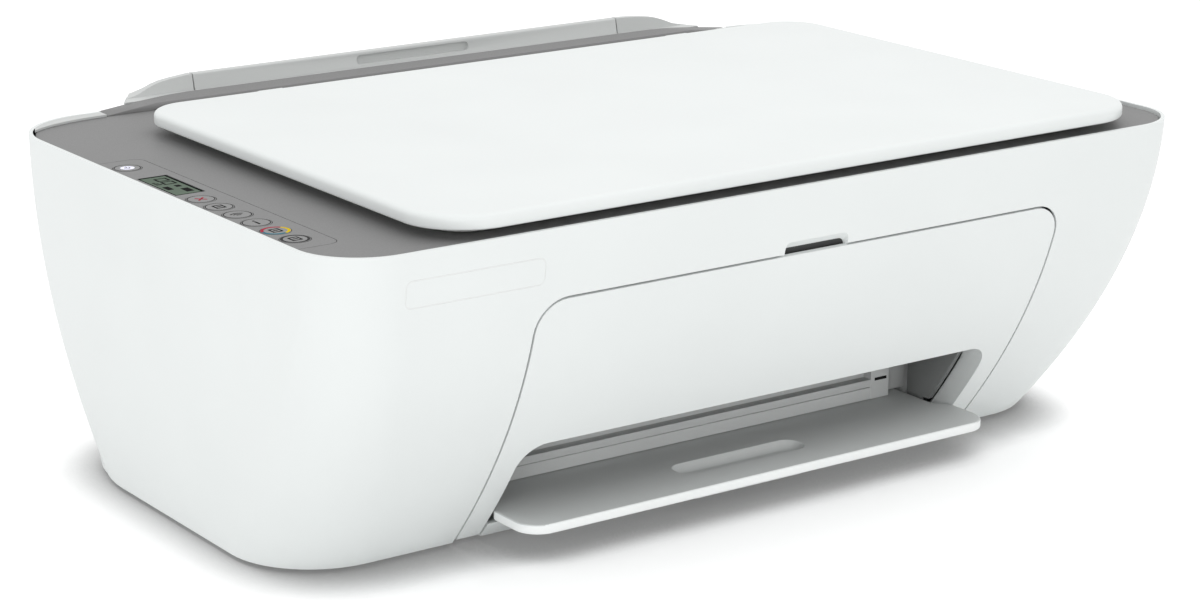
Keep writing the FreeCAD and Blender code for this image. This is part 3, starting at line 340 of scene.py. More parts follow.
# cuts a frame with rounded corners into the faces of a zone and gives the test for what lies inside; its height
# runs along upward, and a frame without a bottom runs on downwards
def scribeFrame(bm, look, zone, upward=Vector((0, 0, 1))):
    left, right, top, radius = (look[k] * mm for k in ("left", "right", "top", "radius"))
    bottom = look["bottom"] * mm if "bottom" in look else -1.0
    steps = look["steps"]
    rows = [(1, top)] + ([(-1, bottom)] if "bottom" in look else [])
    across = Vector((1, 0, 0))
    for way, z in rows:
        sliceFaces(bm, zone, upward * z, upward)
    inRows = lambda c: zone(c) and bottom < c.dot(upward) < top
    for x in (left, right, left + radius, right - radius):
        sliceFaces(bm, inRows, across * x, across)
    within = lambda c: inRows(c) and left < c.x < right
    chords = []
    for way, z in rows:
        sliceFaces(bm, within, upward * (z - way * radius), upward)
        for side, middle in ((-1, left + radius), (1, right - radius)):
            centre = across * middle + upward * (z - way * radius)
            for k in range(steps):
                angle = math.pi / 2 * (k + 0.5) / steps
                normal = across * side * math.sin(angle) + upward * way * math.cos(angle)
                place = centre + normal * radius * math.cos(math.pi / 4 / steps)
                chords.append((side, way, centre, place, normal))

    def inCell(c, side, way, centre):
        return (c - centre).dot(across) * side > 0 and (c - centre).dot(upward) * way > 0

    for side, way, centre, place, normal in chords:
        sliceFaces(bm, lambda c: within(c) and inCell(c, side, way, centre), place, normal)

    def inside(c):
        return within(c) and all((c - place).dot(normal) < 0 for side, way, centre, place, normal in chords
                                 if inCell(c, side, way, centre))
    return inside


# body walls: one loft, of which the shell, the door and the frame line each keep a part
bodyLook = dict(width=425.0, front=-152.0, back=128.0, rim=144.4, foot=2.0, frontLean=67.4, sideLean=11.0,
                backLean=15.0, power=1.85, frontRadius=(28.0, 39.0), backRadius=(36.0, 66.0), backPower=2.4,
                rows=44, cornerSteps=16, wall=1.7, edge=0.5, edgeSteps=3)


# how far the walls are drawn in at a height, from 0 at the rim to 1 on the ground
def drawnIn(z):
    return (max(bodyLook["rim"] - z, 0) / bodyLook["rim"]) ** bodyLook["power"]


def frontAt(z):
    return bodyLook["front"] + bodyLook["frontLean"] * drawnIn(z)


# one closed ring: a rectangle whose corners are bevelled round
def roundedRing(bm, left, right, front, back, frontRadius, backRadius, z, steps):
    corners = [(left, front), (right, front), (right, back), (left, back)]
    verts = [bm.verts.new((x * mm, y * mm, z * mm)) for x, y in corners]
    bm.faces.new(verts)
    for pair, radius in ((verts[:2], frontRadius), (verts[2:], backRadius)):
        roundOff(bm, pair, radius, steps, "VERTICES")
    return [f for f in bm.faces if all(abs(v.co.z - z * mm) < touching for v in f.verts)][0]


def between(ends, share):
    return ends[0] + (ends[1] - ends[0]) * share


def bodyRing(bm, z):
    look = bodyLook
    fall = (look["rim"] - z) / look["rim"]
    half = look["width"] / 2 - look["sideLean"] * drawnIn(z)
    back = look["back"] - look["backLean"] * drawnIn(z)
    frontRadius = between(look["frontRadius"], fall)
    backRadius = between(look["backRadius"], fall ** look["backPower"])
    face = roundedRing(bm, -half, half, frontAt(z), back, frontRadius, backRadius, z, look["cornerSteps"])
    edges = list(face.edges)
    bmesh.ops.delete(bm, geom=[face], context="FACES_ONLY")
    return edges


def bodyLoft():
    bm = bmesh.new()
    rows = bodyLook["rows"]
    rings = [bodyRing(bm, between((bodyLook["foot"], bodyLook["rim"]), i / rows)) for i in range(rows + 1)]
    for lower, upper in zip(rings, rings[1:]):
        bmesh.ops.bridge_loops(bm, edges=lower + upper)
    faceOut(bm, min(bm.faces, key=lambda f: f.calc_center_median().y), (0, -1, 0))
    return bm


frontLook = dict(back=-60.0, half=170.0)


def frontZone(c):
    return c.y < frontLook["back"] * mm and abs(c.x) < frontLook["half"] * mm


paperX = 8.8
doorway = dict(left=paperX - 131.5, right=paperX + 131.5, top=115.5, radius=13.0, steps=8)
outlet = dict(left=paperX - 120.6, right=paperX + 120.6, top=49.0, radius=11.0, steps=8)
notch = dict(left=paperX - 16.0, right=paperX + 16.0, top=121.4, radius=3.0, steps=5, above=6.0,
             turns=[(3.4, 3.0), (1.6, 4.0)])
seam = 1.0
near = 1e-5
hopper = dict(x=4.0, opening=dict(half=141.5, front=90.0, bottom=14.5),
              ledge=dict(half=170.4, front=121.3, bottom=142.8))


# a frame made wider by a gap on all sides
def grown(look, gap):
    wider = dict(look, left=look["left"] - gap, right=look["right"] + gap, top=look["top"] + gap,
                 radius=look["radius"] + gap)
    if "bottom" in look:
        wider["bottom"] = look["bottom"] - gap
    return wider


def buildShell():
    bm = bodyLoft()
    opening = scribeFrame(bm, grown(doorway, seam), frontZone)
    dropFaces(bm, opening)
    # finger notch over the door: its edge turns in and down, then a wall runs on behind the door; that wall is
    # white plastic given a dark grey finish as painted shade
    lip = (doorway["top"] + seam) * mm
    overDoor = lambda c: frontZone(c) and lip - near < c.z < (notch["top"] + notch["above"]) * mm
    notchTest = scribeFrame(bm, notch, overDoor)
    dropFaces(bm, notchTest)
    left, right = notch["left"] * mm - near, notch["right"] * mm + near
    onRim = lambda c: (left < c.x < right and lip - near < c.z < notch["top"] * mm + near and
                       c.y < frontLook["back"] * mm)
    rim = [e for e in bm.edges if e.is_boundary and all(onRim(v.co) for v in e.verts)]
    for index, (depth, drop) in enumerate(notch["turns"]):
        made = bmesh.ops.extrude_edge_only(bm, edges=rim)
        fresh = vertsOf(made)
        bmesh.ops.translate(bm, verts=fresh, vec=(0, depth * mm, -drop * mm))
        rim = [g for g in made["geom"] if isinstance(g, bmesh.types.BMEdge) and all(v in fresh for v in g.verts)]
        for f in made["geom"]:
            if isinstance(f, bmesh.types.BMFace):
                f.material_index = index
    # hopper opening and ledge room at the back
    rear = lambda c: c.y > hopper["opening"]["front"] * mm
    for room in (hopper["opening"], hopper["ledge"]):
        left, right = (hopper["x"] - room["half"]) * mm, (hopper["x"] + room["half"]) * mm
        for x in (left, right):
            sliceFaces(bm, rear, (x, 0, 0), (1, 0, 0))
        amid = lambda c: rear(c) and left < c.x < right
        sliceFaces(bm, amid, (0, 0, room["bottom"] * mm), (0, 0, 1))
        dropFaces(bm, lambda c: amid(c) and c.y > room["front"] * mm and c.z > room["bottom"] * mm)
    bmesh.ops.remove_doubles(bm, verts=bm.verts, dist=touching)
    faceOut(bm, min(bm.faces, key=lambda f: f.calc_center_median().x), (-1, 0, 0))
    shell = finishPiece(bm, "outerShell", "outer_shell", "printer",
                        [finishes["white_plastic"], extraFinishes["notchPaintedShade"]], bodyLook["edge"],
                        bodyLook["edgeSteps"])
    addWall(shell, bodyLook["wall"])


doorLook = dict(floor=3.5, flange=12.5, wall=2.0, reach=0.6)


def buildDoor():
    bm = bodyLoft()
    dropFaces(bm, lambda c: not frontZone(c))
    frameTest = scribeFrame(bm, doorway, frontZone)
    dropFaces(bm, lambda c: not frameTest(c))
    mouthTest = scribeFrame(bm, outlet, frontZone)
    dropFaces(bm, mouthTest)
    floor = doorLook["floor"] * mm
    sliceFaces(bm, frontZone, (0, 0, floor), (0, 0, 1))
    dropFaces(bm, lambda c: c.z < floor)
    bmesh.ops.remove_doubles(bm, verts=bm.verts, dist=touching)
    # the outlet's edge turns inwards as a flange
    around = grown(outlet, doorLook["reach"])
    left, right, top = around["left"] * mm, around["right"] * mm, around["top"] * mm
    rim = []
    for e in bm.edges:
        c = (e.verts[0].co + e.verts[1].co) / 2
        if e.is_boundary and left < c.x < right and floor + near < c.z < top:
            rim.append(e)
    made = bmesh.ops.extrude_edge_only(bm, edges=rim)
    bmesh.ops.translate(bm, verts=vertsOf(made), vec=(0, doorLook["flange"] * mm, 0))
    faceOut(bm, max(bm.faces, key=lambda f: f.calc_area()), (0, -1, 0))
    door = finishPiece(bm, "frontDoor", "front_door", "door", [finishes["white_plastic"]], bodyLook["edge"],
                       bodyLook["edgeSteps"])
    addWall(door, doorLook["wall"])


plateLook = dict(left=-182.5, right=-121.6, top=134.1, bottom=123.0, radius=3.0, steps=5, line=0.45,
                 proud=0.03, wall=0.06, margin=5.0, back=-100.0, low=100.0)


# a thin rounded frame line on the upper left of the front, with nothing printed in it
def buildFrameLine():
    look = plateLook
    bm = bodyLoft()
    around = grown(look, look["margin"])
    front = lambda c: c.y < look["back"] * mm and c.z > look["low"] * mm
    for x in (around["left"], around["right"]):
        sliceFaces(bm, front, (x * mm, 0, 0), (1, 0, 0))
    for z in (around["bottom"], around["top"]):
        sliceFaces(bm, front, (0, 0, z * mm), (0, 0, 1))
    zone = lambda c: (front(c) and around["left"] < c.x / mm < around["right"] and
                      around["bottom"] < c.z / mm < around["top"])
    dropFaces(bm, lambda c: not zone(c))
    outer = scribeFrame(bm, look, zone)
    dropFaces(bm, lambda c: not outer(c))
    inner = scribeFrame(bm, grown(look, -look["line"]), zone)
    dropFaces(bm, inner)
    bmesh.ops.remove_doubles(bm, verts=bm.verts, dist=touching / 10)
    faceOut(bm, max(bm.faces, key=lambda f: f.calc_area()), (0, -1, 0))
    bm.normal_update()
    for v in bm.verts:
        v.co += v.normal * look["proud"] * mm
    frameLine = finishPiece(bm, "frontFrameLine", None, "printer", [extraFinishes["frameLine"]])
    addWall(frameLine, look["wall"])


buildShell()
buildDoor()
buildFrameLine()
print("body walls made")


# scanner lid: a rounded plate, hollow below, with two hinge lugs behind
lidLook = dict(left=-166.0, right=188.5, front=-149.0, back=91.0, bottom=147.2, top=153.0, frontRadius=26.0,
               backRadius=19.0, steps=14, topEdge=2.2, topSteps=5, lowEdge=1.0, lowSteps=2, rim=4.0, pocket=3.4,
               wideArea=0.02, axisY=97.0, axisZ=148.0, lugRadius=3.2, lugWidth=12.0, lugSpread=110.0, lugLow=1.8,
               lugHigh=3.1, edge=0.3)


def levelEdges(bm, z):
    return [e for e in bm.edges if all(abs(v.co.z - z * mm) < touching for v in e.verts)]


# a round rod between two points, turned out of the upright about the given axis
def addRod(bm, axis, start, end, radius, segments):
    turn = Matrix.Rotation(math.pi / 2, 4, axis)
    middle = (Vector(start) + Vector(end)) / 2 * mm
    length = (Vector(end) - Vector(start)).length * mm
    bmesh.ops.create_cone(bm, cap_ends=True, segments=segments, radius1=radius * mm, radius2=radius * mm,
                          depth=length, matrix=Matrix.Translation(middle) @ turn)


def addBlock(bm, x0, x1, y0, y1, z0, z1):
    size = Vector((x1 - x0, y1 - y0, z1 - z0)) * mm
    place = Vector((x0 + x1, y0 + y1, z0 + z1)) * mm / 2
    shape = Matrix.Translation(place) @ Matrix.Diagonal((*size, 1))
    return bmesh.ops.create_cube(bm, size=1.0, matrix=shape)["verts"]


def buildLid():
    look = lidLook
    bm = bmesh.new()
    base = roundedRing(bm, look["left"], look["right"], look["front"], look["back"], look["frontRadius"],
                       look["backRadius"], look["bottom"], look["steps"])
    pullFace(bm, base, (0, 0, look["top"] - look["bottom"]))
    bmesh.ops.recalc_face_normals(bm, faces=bm.faces)
    roundOff(bm, levelEdges(bm, look["top"]), look["topEdge"], look["topSteps"])
    roundOff(bm, levelEdges(bm, look["bottom"]), look["lowEdge"], look["lowSteps"])
    undersides = lambda: [f for f in bm.faces if f.normal.z < -0.99 and f.calc_area() > look["wideArea"]]
    bmesh.ops.inset_region(bm, faces=undersides(), thickness=look["rim"] * mm, use_even_offset=True)
    bottoms = undersides()
    made = bmesh.ops.extrude_face_region(bm, geom=bottoms)
    bmesh.ops.delete(bm, geom=bottoms, context="FACES")
    bmesh.ops.translate(bm, verts=vertsOf(made), vec=(0, 0, look["pocket"] * mm))
    middle = (look["left"] + look["right"]) / 2
    for side in (-1, 1):
        x0 = middle + side * look["lugSpread"] - look["lugWidth"] / 2
        x1 = x0 + look["lugWidth"]
        y, z = look["axisY"], look["axisZ"]
        addRod(bm, "Y", (x0, y, z), (x1, y, z), look["lugRadius"], 24)
        addBlock(bm, x0, x1, look["back"] - look["rim"], y, z - look["lugLow"], z + look["lugHigh"])
    finishPiece(bm, "scannerLid", "scanner_lid", "lid", [finishes["white_plastic"]], look["edge"])


padLook = dict(margin=12.0, bottom=143.6, top=150.3, steps=8, lowEdge=1.2, lowSteps=4, edge=0.2)


# foam pad under the lid, within the lid's outline
def buildPad():
    look = padLook
    m = look["margin"]
    bm = bmesh.new()
    base = roundedRing(bm, lidLook["left"] + m, lidLook["right"] - m, lidLook["front"] + m, lidLook["back"] - m,
                       lidLook["frontRadius"] - m, lidLook["backRadius"] - m, look["bottom"], look["steps"])
    pullFace(bm, base, (0, 0, look["top"] - look["bottom"]))
    bmesh.ops.recalc_face_normals(bm, faces=bm.faces)
    roundOff(bm, levelEdges(bm, look["bottom"]), look["lowEdge"], look["lowSteps"])
    pad = finishPiece(bm, "lidPad", "lid_pad", "lid", [finishes["pad_foam"]], look["edge"])


buildLid()
buildPad()
print("lid made")


# output tray: a plate with a finger scoop and a hump below it
# the steps of the scoop and the hump are (scale x, scale y, shift y, depth), the hump's depths as shares
trayLook = dict(x=paperX, half=120.0, neck=114.5, back=-22.0, flareEnd=-91.0, flareStart=-97.0, front=-123.5,
                top=16.3, thickness=4.0, corner=11.0, small=1.8, cornerSteps=10, edge=0.8, edgeSteps=3,
                scoopHalf=33.0, scoopFront=-107.5, scoopBack=-93.5, scoopCorner=6.6, scoopSteps=6, humpBottom=5.6,
                skin=2.0, grainAndShadeTilt=0.3, scoopTilt=0.02,
                scoop=[(0.995, 0.98, 0.05, 0.3), (0.99, 0.94, 0.3, 0.7), (0.985, 0.88, 0.6, 0.9),
                       (0.98, 0.82, 0.7, 0.9), (0.97, 0.74, 0.6, 0.7), (0.95, 0.6, 0.3, 0.4)],
                hump=[(0.995, 0.99, 0.0, 0.3), (0.99, 0.97, 0.0, 0.5), (0.98, 0.9, 0.0, 0.2)])


# a flat outline whose corners are rounded one by one, each given with its reach
def outlineFace(bm, corners, z, steps):
    verts = [bm.verts.new((x * mm, y * mm, z * mm)) for x, y, reach in corners]
    face = bm.faces.new(verts)
    for vert, (x, y, reach) in zip(verts, corners):
        if reach:
            roundOff(bm, [vert], reach, steps, "VERTICES")
    return face if face.is_valid else max(bm.faces, key=lambda f: len(f.verts))


# marks a slot on the level faces at one height and draws it down in steps
def sinkSlot(bm, look, z, grow, facing, steps):
    level = lambda c: abs(c.z - z * mm) < touching
    slot = dict(left=look["x"] - look["scoopHalf"] - grow, right=look["x"] + look["scoopHalf"] + grow,
                top=look["scoopBack"] + grow, bottom=look["scoopFront"] - grow, radius=look["scoopCorner"] + grow,
                steps=look["scoopSteps"])
    inside = scribeFrame(bm, slot, level, Vector((0, 1, 0)))
    faces = [f for f in bm.faces if f.normal.z * facing > 0.99 and inside(f.calc_center_median())]
    middle = Vector((look["x"], (look["scoopFront"] + look["scoopBack"]) / 2, z)) * mm
    region = bmesh.ops.dissolve_faces(bm, faces=faces)["region"]
    for scaleX, scaleY, shift, depth in steps:
        made = bmesh.ops.extrude_face_region(bm, geom=region)
        bmesh.ops.delete(bm, geom=region, context="FACES_ONLY")
        region = [g for g in made["geom"] if isinstance(g, bmesh.types.BMFace)]
        verts = vertsOf(made)
        bmesh.ops.scale(bm, verts=verts, vec=(scaleX, scaleY, 1), space=Matrix.Translation(-middle))
        bmesh.ops.translate(bm, verts=verts, vec=(0, shift * mm, -depth * mm))
        middle += Vector((0, shift * mm, 0))


def buildTray():
    look = trayLook
    bottom = look["top"] - look["thickness"]
    side = [(look["neck"], look["back"], 0.0), (look["neck"], look["flareEnd"], look["small"]),
            (look["half"], look["flareStart"], look["small"]), (look["half"], look["front"], look["corner"])]
    corners = [(look["x"] + x, y, r) for x, y, r in side] + [(look["x"] - x, y, r) for x, y, r in reversed(side)]
    bm = bmesh.new()
    pullFace(bm, outlineFace(bm, corners, bottom, look["cornerSteps"]), (0, 0, look["thickness"]))
    bmesh.ops.recalc_face_normals(bm, faces=bm.faces)
    for z in (look["top"], bottom):
        roundOff(bm, levelEdges(bm, z), look["edge"], look["edgeSteps"])
    sinkSlot(bm, look, look["top"], 0.0, 1, look["scoop"])
    drop = bottom - look["humpBottom"]
    sinkSlot(bm, look, bottom, look["skin"], -1, [(*step[:3], drop * step[3]) for step in look["hump"]])
    bmesh.ops.recalc_face_normals(bm, faces=bm.faces)
    bm.normal_update()
    # the paper side is grained and coloured darker than the lip as painted shade under the body's overhang, the
    # lip and the underside are smooth
    for f in bm.faces:
        c = f.calc_center_median()
        inScoop = (abs(c.x / mm - look["x"]) < look["scoopHalf"] and
                   look["scoopFront"] < c.y / mm < look["scoopBack"])
        tilt = look["scoopTilt"] if inScoop else look["grainAndShadeTilt"]
        if f.normal.z > tilt and c.y > (look["front"] + look["edge"]) * mm:
            f.material_index = 1
    tray = finishPiece(bm, "outputTray", "output_tray", "tray",
                       [finishes["tray_plastic"], extraFinishes["trayGrainAndShade"]])
    # level faces are shaded flat
    for face in tray.data.polygons:
        if abs(face.normal.z) > 0.999:
            face.use_smooth = False


buildTray()
print("tray made")


# paper platen behind the outlet: the CAD form at the back, a stepped wall with a groove in front
platenLook = dict(left=-110.2, wallEnd=113.5, right=127.8, cutY=-66.0, front=-72.4, foot=16.7, seamZ=22.2,
                  stripTop=25.6, top=29.0, ledge=-67.6, grooveHalf=0.2, grooveDepth=0.8, skin=2.5, skirt=8.0,
                  blockWidth=10.0, blockProud=0.3, blockHigh=2.0, lap=0.02, sideFront=0.5, sideBack=1.5,
                  pins=(-71.0, -7.0, 58.0), pinProud=0.5, pinDepth=1.0, pinHigh=1.3, pinRadius=0.8, edge=0.25,
                  slitShade=dict(left=8.0, right=1.2, front=0.36, back=0.2, low=0.8, high=0.6))


def buildPlaten():
    look = platenLook
    bm = cadCopy("platen")
    bmesh.ops.bisect_plane(bm, geom=bm.verts[:] + bm.edges[:] + bm.faces[:], dist=1e-7,
                           plane_co=(0, look["cutY"] * mm, 0), plane_no=(0, -1, 0), clear_outer=True)
    bmesh.ops.holes_fill(bm, edges=[e for e in bm.edges if e.is_boundary], sides=0)
    joinFlats(bm)
    y, back, ledge = look["front"], look["cutY"], look["ledge"]
    foot, strip, end = look["foot"], look["stripTop"], look["wallEnd"]
    upper, lower = look["seamZ"] + look["grooveHalf"], look["seamZ"] - look["grooveHalf"]
    inner, behind, skirt = y + look["grooveDepth"], y + look["skin"], foot + look["skirt"]
    profile = [(back, look["top"]), (ledge, look["top"]), (ledge, strip), (y, strip), (y, upper), (inner, upper),
               (inner, lower), (y, lower), (y, foot), (behind, foot), (behind, skirt), (back, skirt)]
    face = bm.faces.new([bm.verts.new((look["left"] * mm, py * mm, pz * mm)) for py, pz in profile])
    pullFace(bm, face, (end - look["left"], 0, 0))
    # end block, set-back wall beside it and the row of small pins in the recess
    addBlock(bm, end - look["blockWidth"], end + look["lap"], y - look["blockProud"], back, foot,
             look["top"] + look["blockHigh"])
    addBlock(bm, end, look["right"], back - look["sideFront"], back + look["sideBack"], foot, look["top"])
    for x in look["pins"]:
        z = strip + look["pinHigh"]
        addRod(bm, "X", (x, ledge - look["pinProud"], z), (x, ledge + look["pinDepth"], z), look["pinRadius"], 16)
    bmesh.ops.recalc_face_normals(bm, faces=bm.faces)
    # a thin near-black sheet in front of the wall beside the end block is painted shade standing in for a slit
    slitShade = look["slitShade"]
    dark = addBlock(bm, end - slitShade["left"], end - slitShade["right"], y - slitShade["front"], y - slitShade["back"],
                    strip - slitShade["low"], strip + slitShade["high"])
    for f in {f for v in dark for f in v.link_faces}:
        f.material_index = 1
    finishPiece(bm, "platenWall", "platen", "printer", [extraFinishes["platenLight"], extraFinishes["iconDark"]],
                look["edge"])


buildPlaten()
print("platen made")


# pieces that keep the CAD form, with merged faces and softened edges
softPieces = [
    ("slot_cover", "slotCover", "printer", 0.5), ("paper_support", "paperSupport", "support", 0.5),
    ("rear_cover", "rearCover", "printer", 0.6), ("star_wheel_bar", "starWheelBar", "printer", 0.5),
]
softAngle = 30
for node, name, body, width in softPieces:
    soft = cadCopy(node)
    joinFlats(soft)
    finishPiece(soft, name, node, body, [finishes[slotOf[node]]], width, angle=softAngle)

# along each wing: distance from the middle, height of the ridge, height of the back edge
wingLook = dict(middle=4.0, front=132.0, face=139.0, lean=1.5, ridge=3.5, back=152.0, toe=0.9, corner=144.0,
                slant=1.57, edge=0.7, edgeSteps=3, edgeAngle=25, least=0.05, shortest=0.5, ridgeGap=0.1,
                leanGap=0.3, faceGap=0.4,
                fall=[(111.0, 152.7, 149.0), (118.0, 152.6, 149.0), (124.0, 152.2, 148.8), (129.0, 151.7, 148.3),
                      (134.0, 151.0, 147.4), (138.0, 150.0, 146.3), (141.5, 148.7, 145.5), (145.0, 147.2, 145.2),
                      (148.0, 146.3, 145.1), (151.0, 145.8, 145.0), (153.5, 145.5, 145.0), (156.0, 145.3, 145.0)])


# a wing beside the paper support: one section after another along the falling ridge
def buildWing(node, name, side):
    look = wingLook
    low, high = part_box(node)
    foot = low[2] / mm
    split = low[0] / mm if side > 0 else high[0] / mm
    bm = bmesh.new()
    rings = []
    start = abs(split - look["middle"])
    for reach, top, tail in [(start,) + look["fall"][0][1:]] + look["fall"]:
        if rings and reach <= start + look["shortest"]:
            continue
        x = look["middle"] + side * reach
        step = foot + look["toe"]
        top = max(top, step + look["least"])
        lean = look["face"] + look["lean"] * (top - step) / (look["fall"][0][1] - step)
        # the end follows the rear cover's slanted corner
        back = min(look["back"], look["back"] - (reach - look["corner"]) * look["slant"])
        lean = min(lean, back - look["leanGap"])
        ridge = min(lean + look["ridge"], back - look["ridgeGap"])
        face = min(look["face"], back - look["faceGap"])
        section = [(look["front"], foot), (look["front"], step), (face, step), (lean, top), (ridge, top),
                   (back, min(tail, top)), (back, foot)]
        ring = bm.faces.new([bm.verts.new((x * mm, y * mm, z * mm)) for y, z in section])
        rings.append(list(ring.edges))
    bm.faces.ensure_lookup_table()
    bmesh.ops.delete(bm, geom=bm.faces[1:-1], context="FACES_ONLY")
    for first, second in zip(rings, rings[1:]):
        bmesh.ops.bridge_loops(bm, edges=first + second)
    bmesh.ops.recalc_face_normals(bm, faces=bm.faces)
    finishPiece(bm, name, node, "printer", [finishes[slotOf[node]]], look["edge"], look["edgeSteps"],
                angle=look["edgeAngle"])


buildWing("left_wing", "leftWing", -1)
buildWing("right_wing", "rightWing", 1)

cheekLook = dict(inner=115.4, outer=117.6, low=16.9, top=52.0, back=-72.8, rows=12, overlap=1.5, edge=0.3,
                 shadedLow=11.5, shadedHalf=125.0, shadedFront=-130.0)


# base pan with the walls beside the outlet, which reach in behind the door's flange; its white faces inside the
# outlet are coloured grey as painted shade
def buildPan():
    look = cheekLook
    bm = cadCopy("base_pan")
    joinFlats(bm)
    heights = [between((look["low"], look["top"]), i / look["rows"]) for i in range(look["rows"] + 1)]
    profile = [(frontAt(z) + doorLook["flange"] - look["overlap"], z) for z in heights]
    profile += [(look["back"], look["top"]), (look["back"], look["low"])]
    for side in (-1, 1):
        x = paperX + side * look["inner"]
        face = bm.faces.new([bm.verts.new((x * mm, y * mm, z * mm)) for y, z in profile])
        pullFace(bm, face, (side * (look["outer"] - look["inner"]), 0, 0))
    bmesh.ops.recalc_face_normals(bm, faces=bm.faces)
    # faces inside the outlet get a grey finish: painted shade on the white plastic
    for f in bm.faces:
        c = f.calc_center_median() / mm
        if c.z > look["shadedLow"] and abs(c.x - paperX) < look["shadedHalf"] and c.y > look["shadedFront"]:
            f.material_index = 1
    finishPiece(bm, "basePan", "base_pan", "printer", [finishes[slotOf["base_pan"]], extraFinishes["insidePaintedShade"]],
                look["edge"], angle=softAngle)


shelfLook = dict(centre=176.5, middleY=92.0, radius=34.6, tip=166.4, tipFront=120.6, startY=100.0, low=143.2,
                 top=144.35, steps=12, edge=0.3)


# the rim widens to a flat shelf between the deck and the rear corners; its light grey colour is painted shade on
# the white rim
def buildShelf(name, side):
    look = shelfLook
    outline = []
    first = math.asin((look["startY"] - look["middleY"]) / look["radius"])
    for i in range(look["steps"] + 1):
        a = between((first, math.pi / 2), i / look["steps"])
        outline.append((look["centre"] + look["radius"] * math.cos(a),
                        look["middleY"] + look["radius"] * math.sin(a)))
    outline.append((look["tip"], look["middleY"] + look["radius"]))
    reach = outline[0][0] - look["tip"]
    for i in range(look["steps"], 0, -1):
        a = math.pi / 2 * i / look["steps"]
        outline.append((look["tip"] + reach * math.cos(a),
                        between((look["startY"], look["tipFront"]), math.sin(a))))
    bm = bmesh.new()
    face = bm.faces.new([bm.verts.new((side * x * mm, y * mm, look["low"] * mm)) for x, y in outline])
    pullFace(bm, face, (0, 0, look["top"] - look["low"]))
    bmesh.ops.recalc_face_normals(bm, faces=bm.faces)
    shelf = finishPiece(bm, name, None, "printer", [finishes["light_grey_plastic"]], look["edge"])


buildPan()
buildShelf("leftRimShelf", -1)
buildShelf("rightRimShelf", 1)
print("softened pieces made")


# buttons: round caps whose signs are thin forms just above the top
panelLook = dict(top=143.2, buttonX=-202.0, buttonRadius=5.8, proud=0.1, depth=5.0, powerY=29.8, firstY=-32.9,
                 pitch=14.65, lift=0.02, capSteps=56, rimEdge=0.1, rimSteps=3, inkHeight=0.05)


# a flat ring or part of one, from one angle to another
def addRing(bm, x, y, z, inner, outer, start, end, steps, material):
    a = math.radians(start)
    heading = Vector((math.cos(a), math.sin(a), 0))
    centre = Vector((x, y, z)) * mm
    verts = [bm.verts.new(centre + heading * r * mm) for r in (inner, outer)]
    edge = bm.edges.new(verts)
    full = abs(end - start) >= 360
    bmesh.ops.spin(bm, geom=[edge] + verts, cent=centre, axis=(0, 0, 1), angle=math.radians(end - start),
                   steps=steps, use_merge=full)
    onRing = {v for v in bm.verts if abs(v.co.z - z * mm) < touching / 10 and
              inner * mm - near < (v.co - centre).length < outer * mm + near}
    faces = [f for f in bm.faces if f.material_index == 0 and all(v in onRing for v in f.verts)]
    bmesh.ops.recalc_face_normals(bm, faces=faces)
    for f in faces:
        f.material_index = material
        if f.normal.z < 0:
            f.normal_flip()


# a low bar that stands on a height
def addBar(bm, x, y, z, length, width, turn, material, height=panelLook["inkHeight"]):
    place = Matrix.Translation(Vector((x, y, z + height / 2)) * mm) @ Matrix.Rotation(math.radians(turn), 4, "Z")
    shape = place @ Matrix.Diagonal((length * mm, width * mm, height * mm, 1))
    made = bmesh.ops.create_cube(bm, size=1.0, matrix=shape)
    for f in {f for v in made["verts"] for f in v.link_faces}:
        f.material_index = material


# adds the cap and gives the height for its sign
def buttonCap(bm, y):
    look = panelLook
    top = look["top"] + look["proud"]
    place = Matrix.Translation((look["buttonX"] * mm, y * mm, (top - look["depth"] / 2) * mm))
    radius = look["buttonRadius"] * mm
    bmesh.ops.create_cone(bm, cap_ends=True, segments=look["capSteps"], radius1=radius, radius2=radius,
                          depth=look["depth"] * mm, matrix=place)
    roundOff(bm, levelEdges(bm, top), look["rimEdge"], look["rimSteps"])
    return top + look["lift"]


# the row of buttons after the power button: CAD node, piece and sign
buttonRow = [
    ("cancel_button", "cancelButton", "cross"), ("resume_button", "resumeButton", "sheet"),
    ("wireless_button", "wirelessButton", "waves"), ("information_button", "informationButton", "mark"),
    ("colour_copy_button", "colourCopyButton", "colours"), ("black_copy_button", "blackCopyButton", "darkRing"),
]
iconFinishes = [finishes["button_plastic"]] + [extraFinishes[key] for key in (
    "iconPale", "iconDark", "iconRed", "iconYellow", "iconTeal", "powerLamp")]


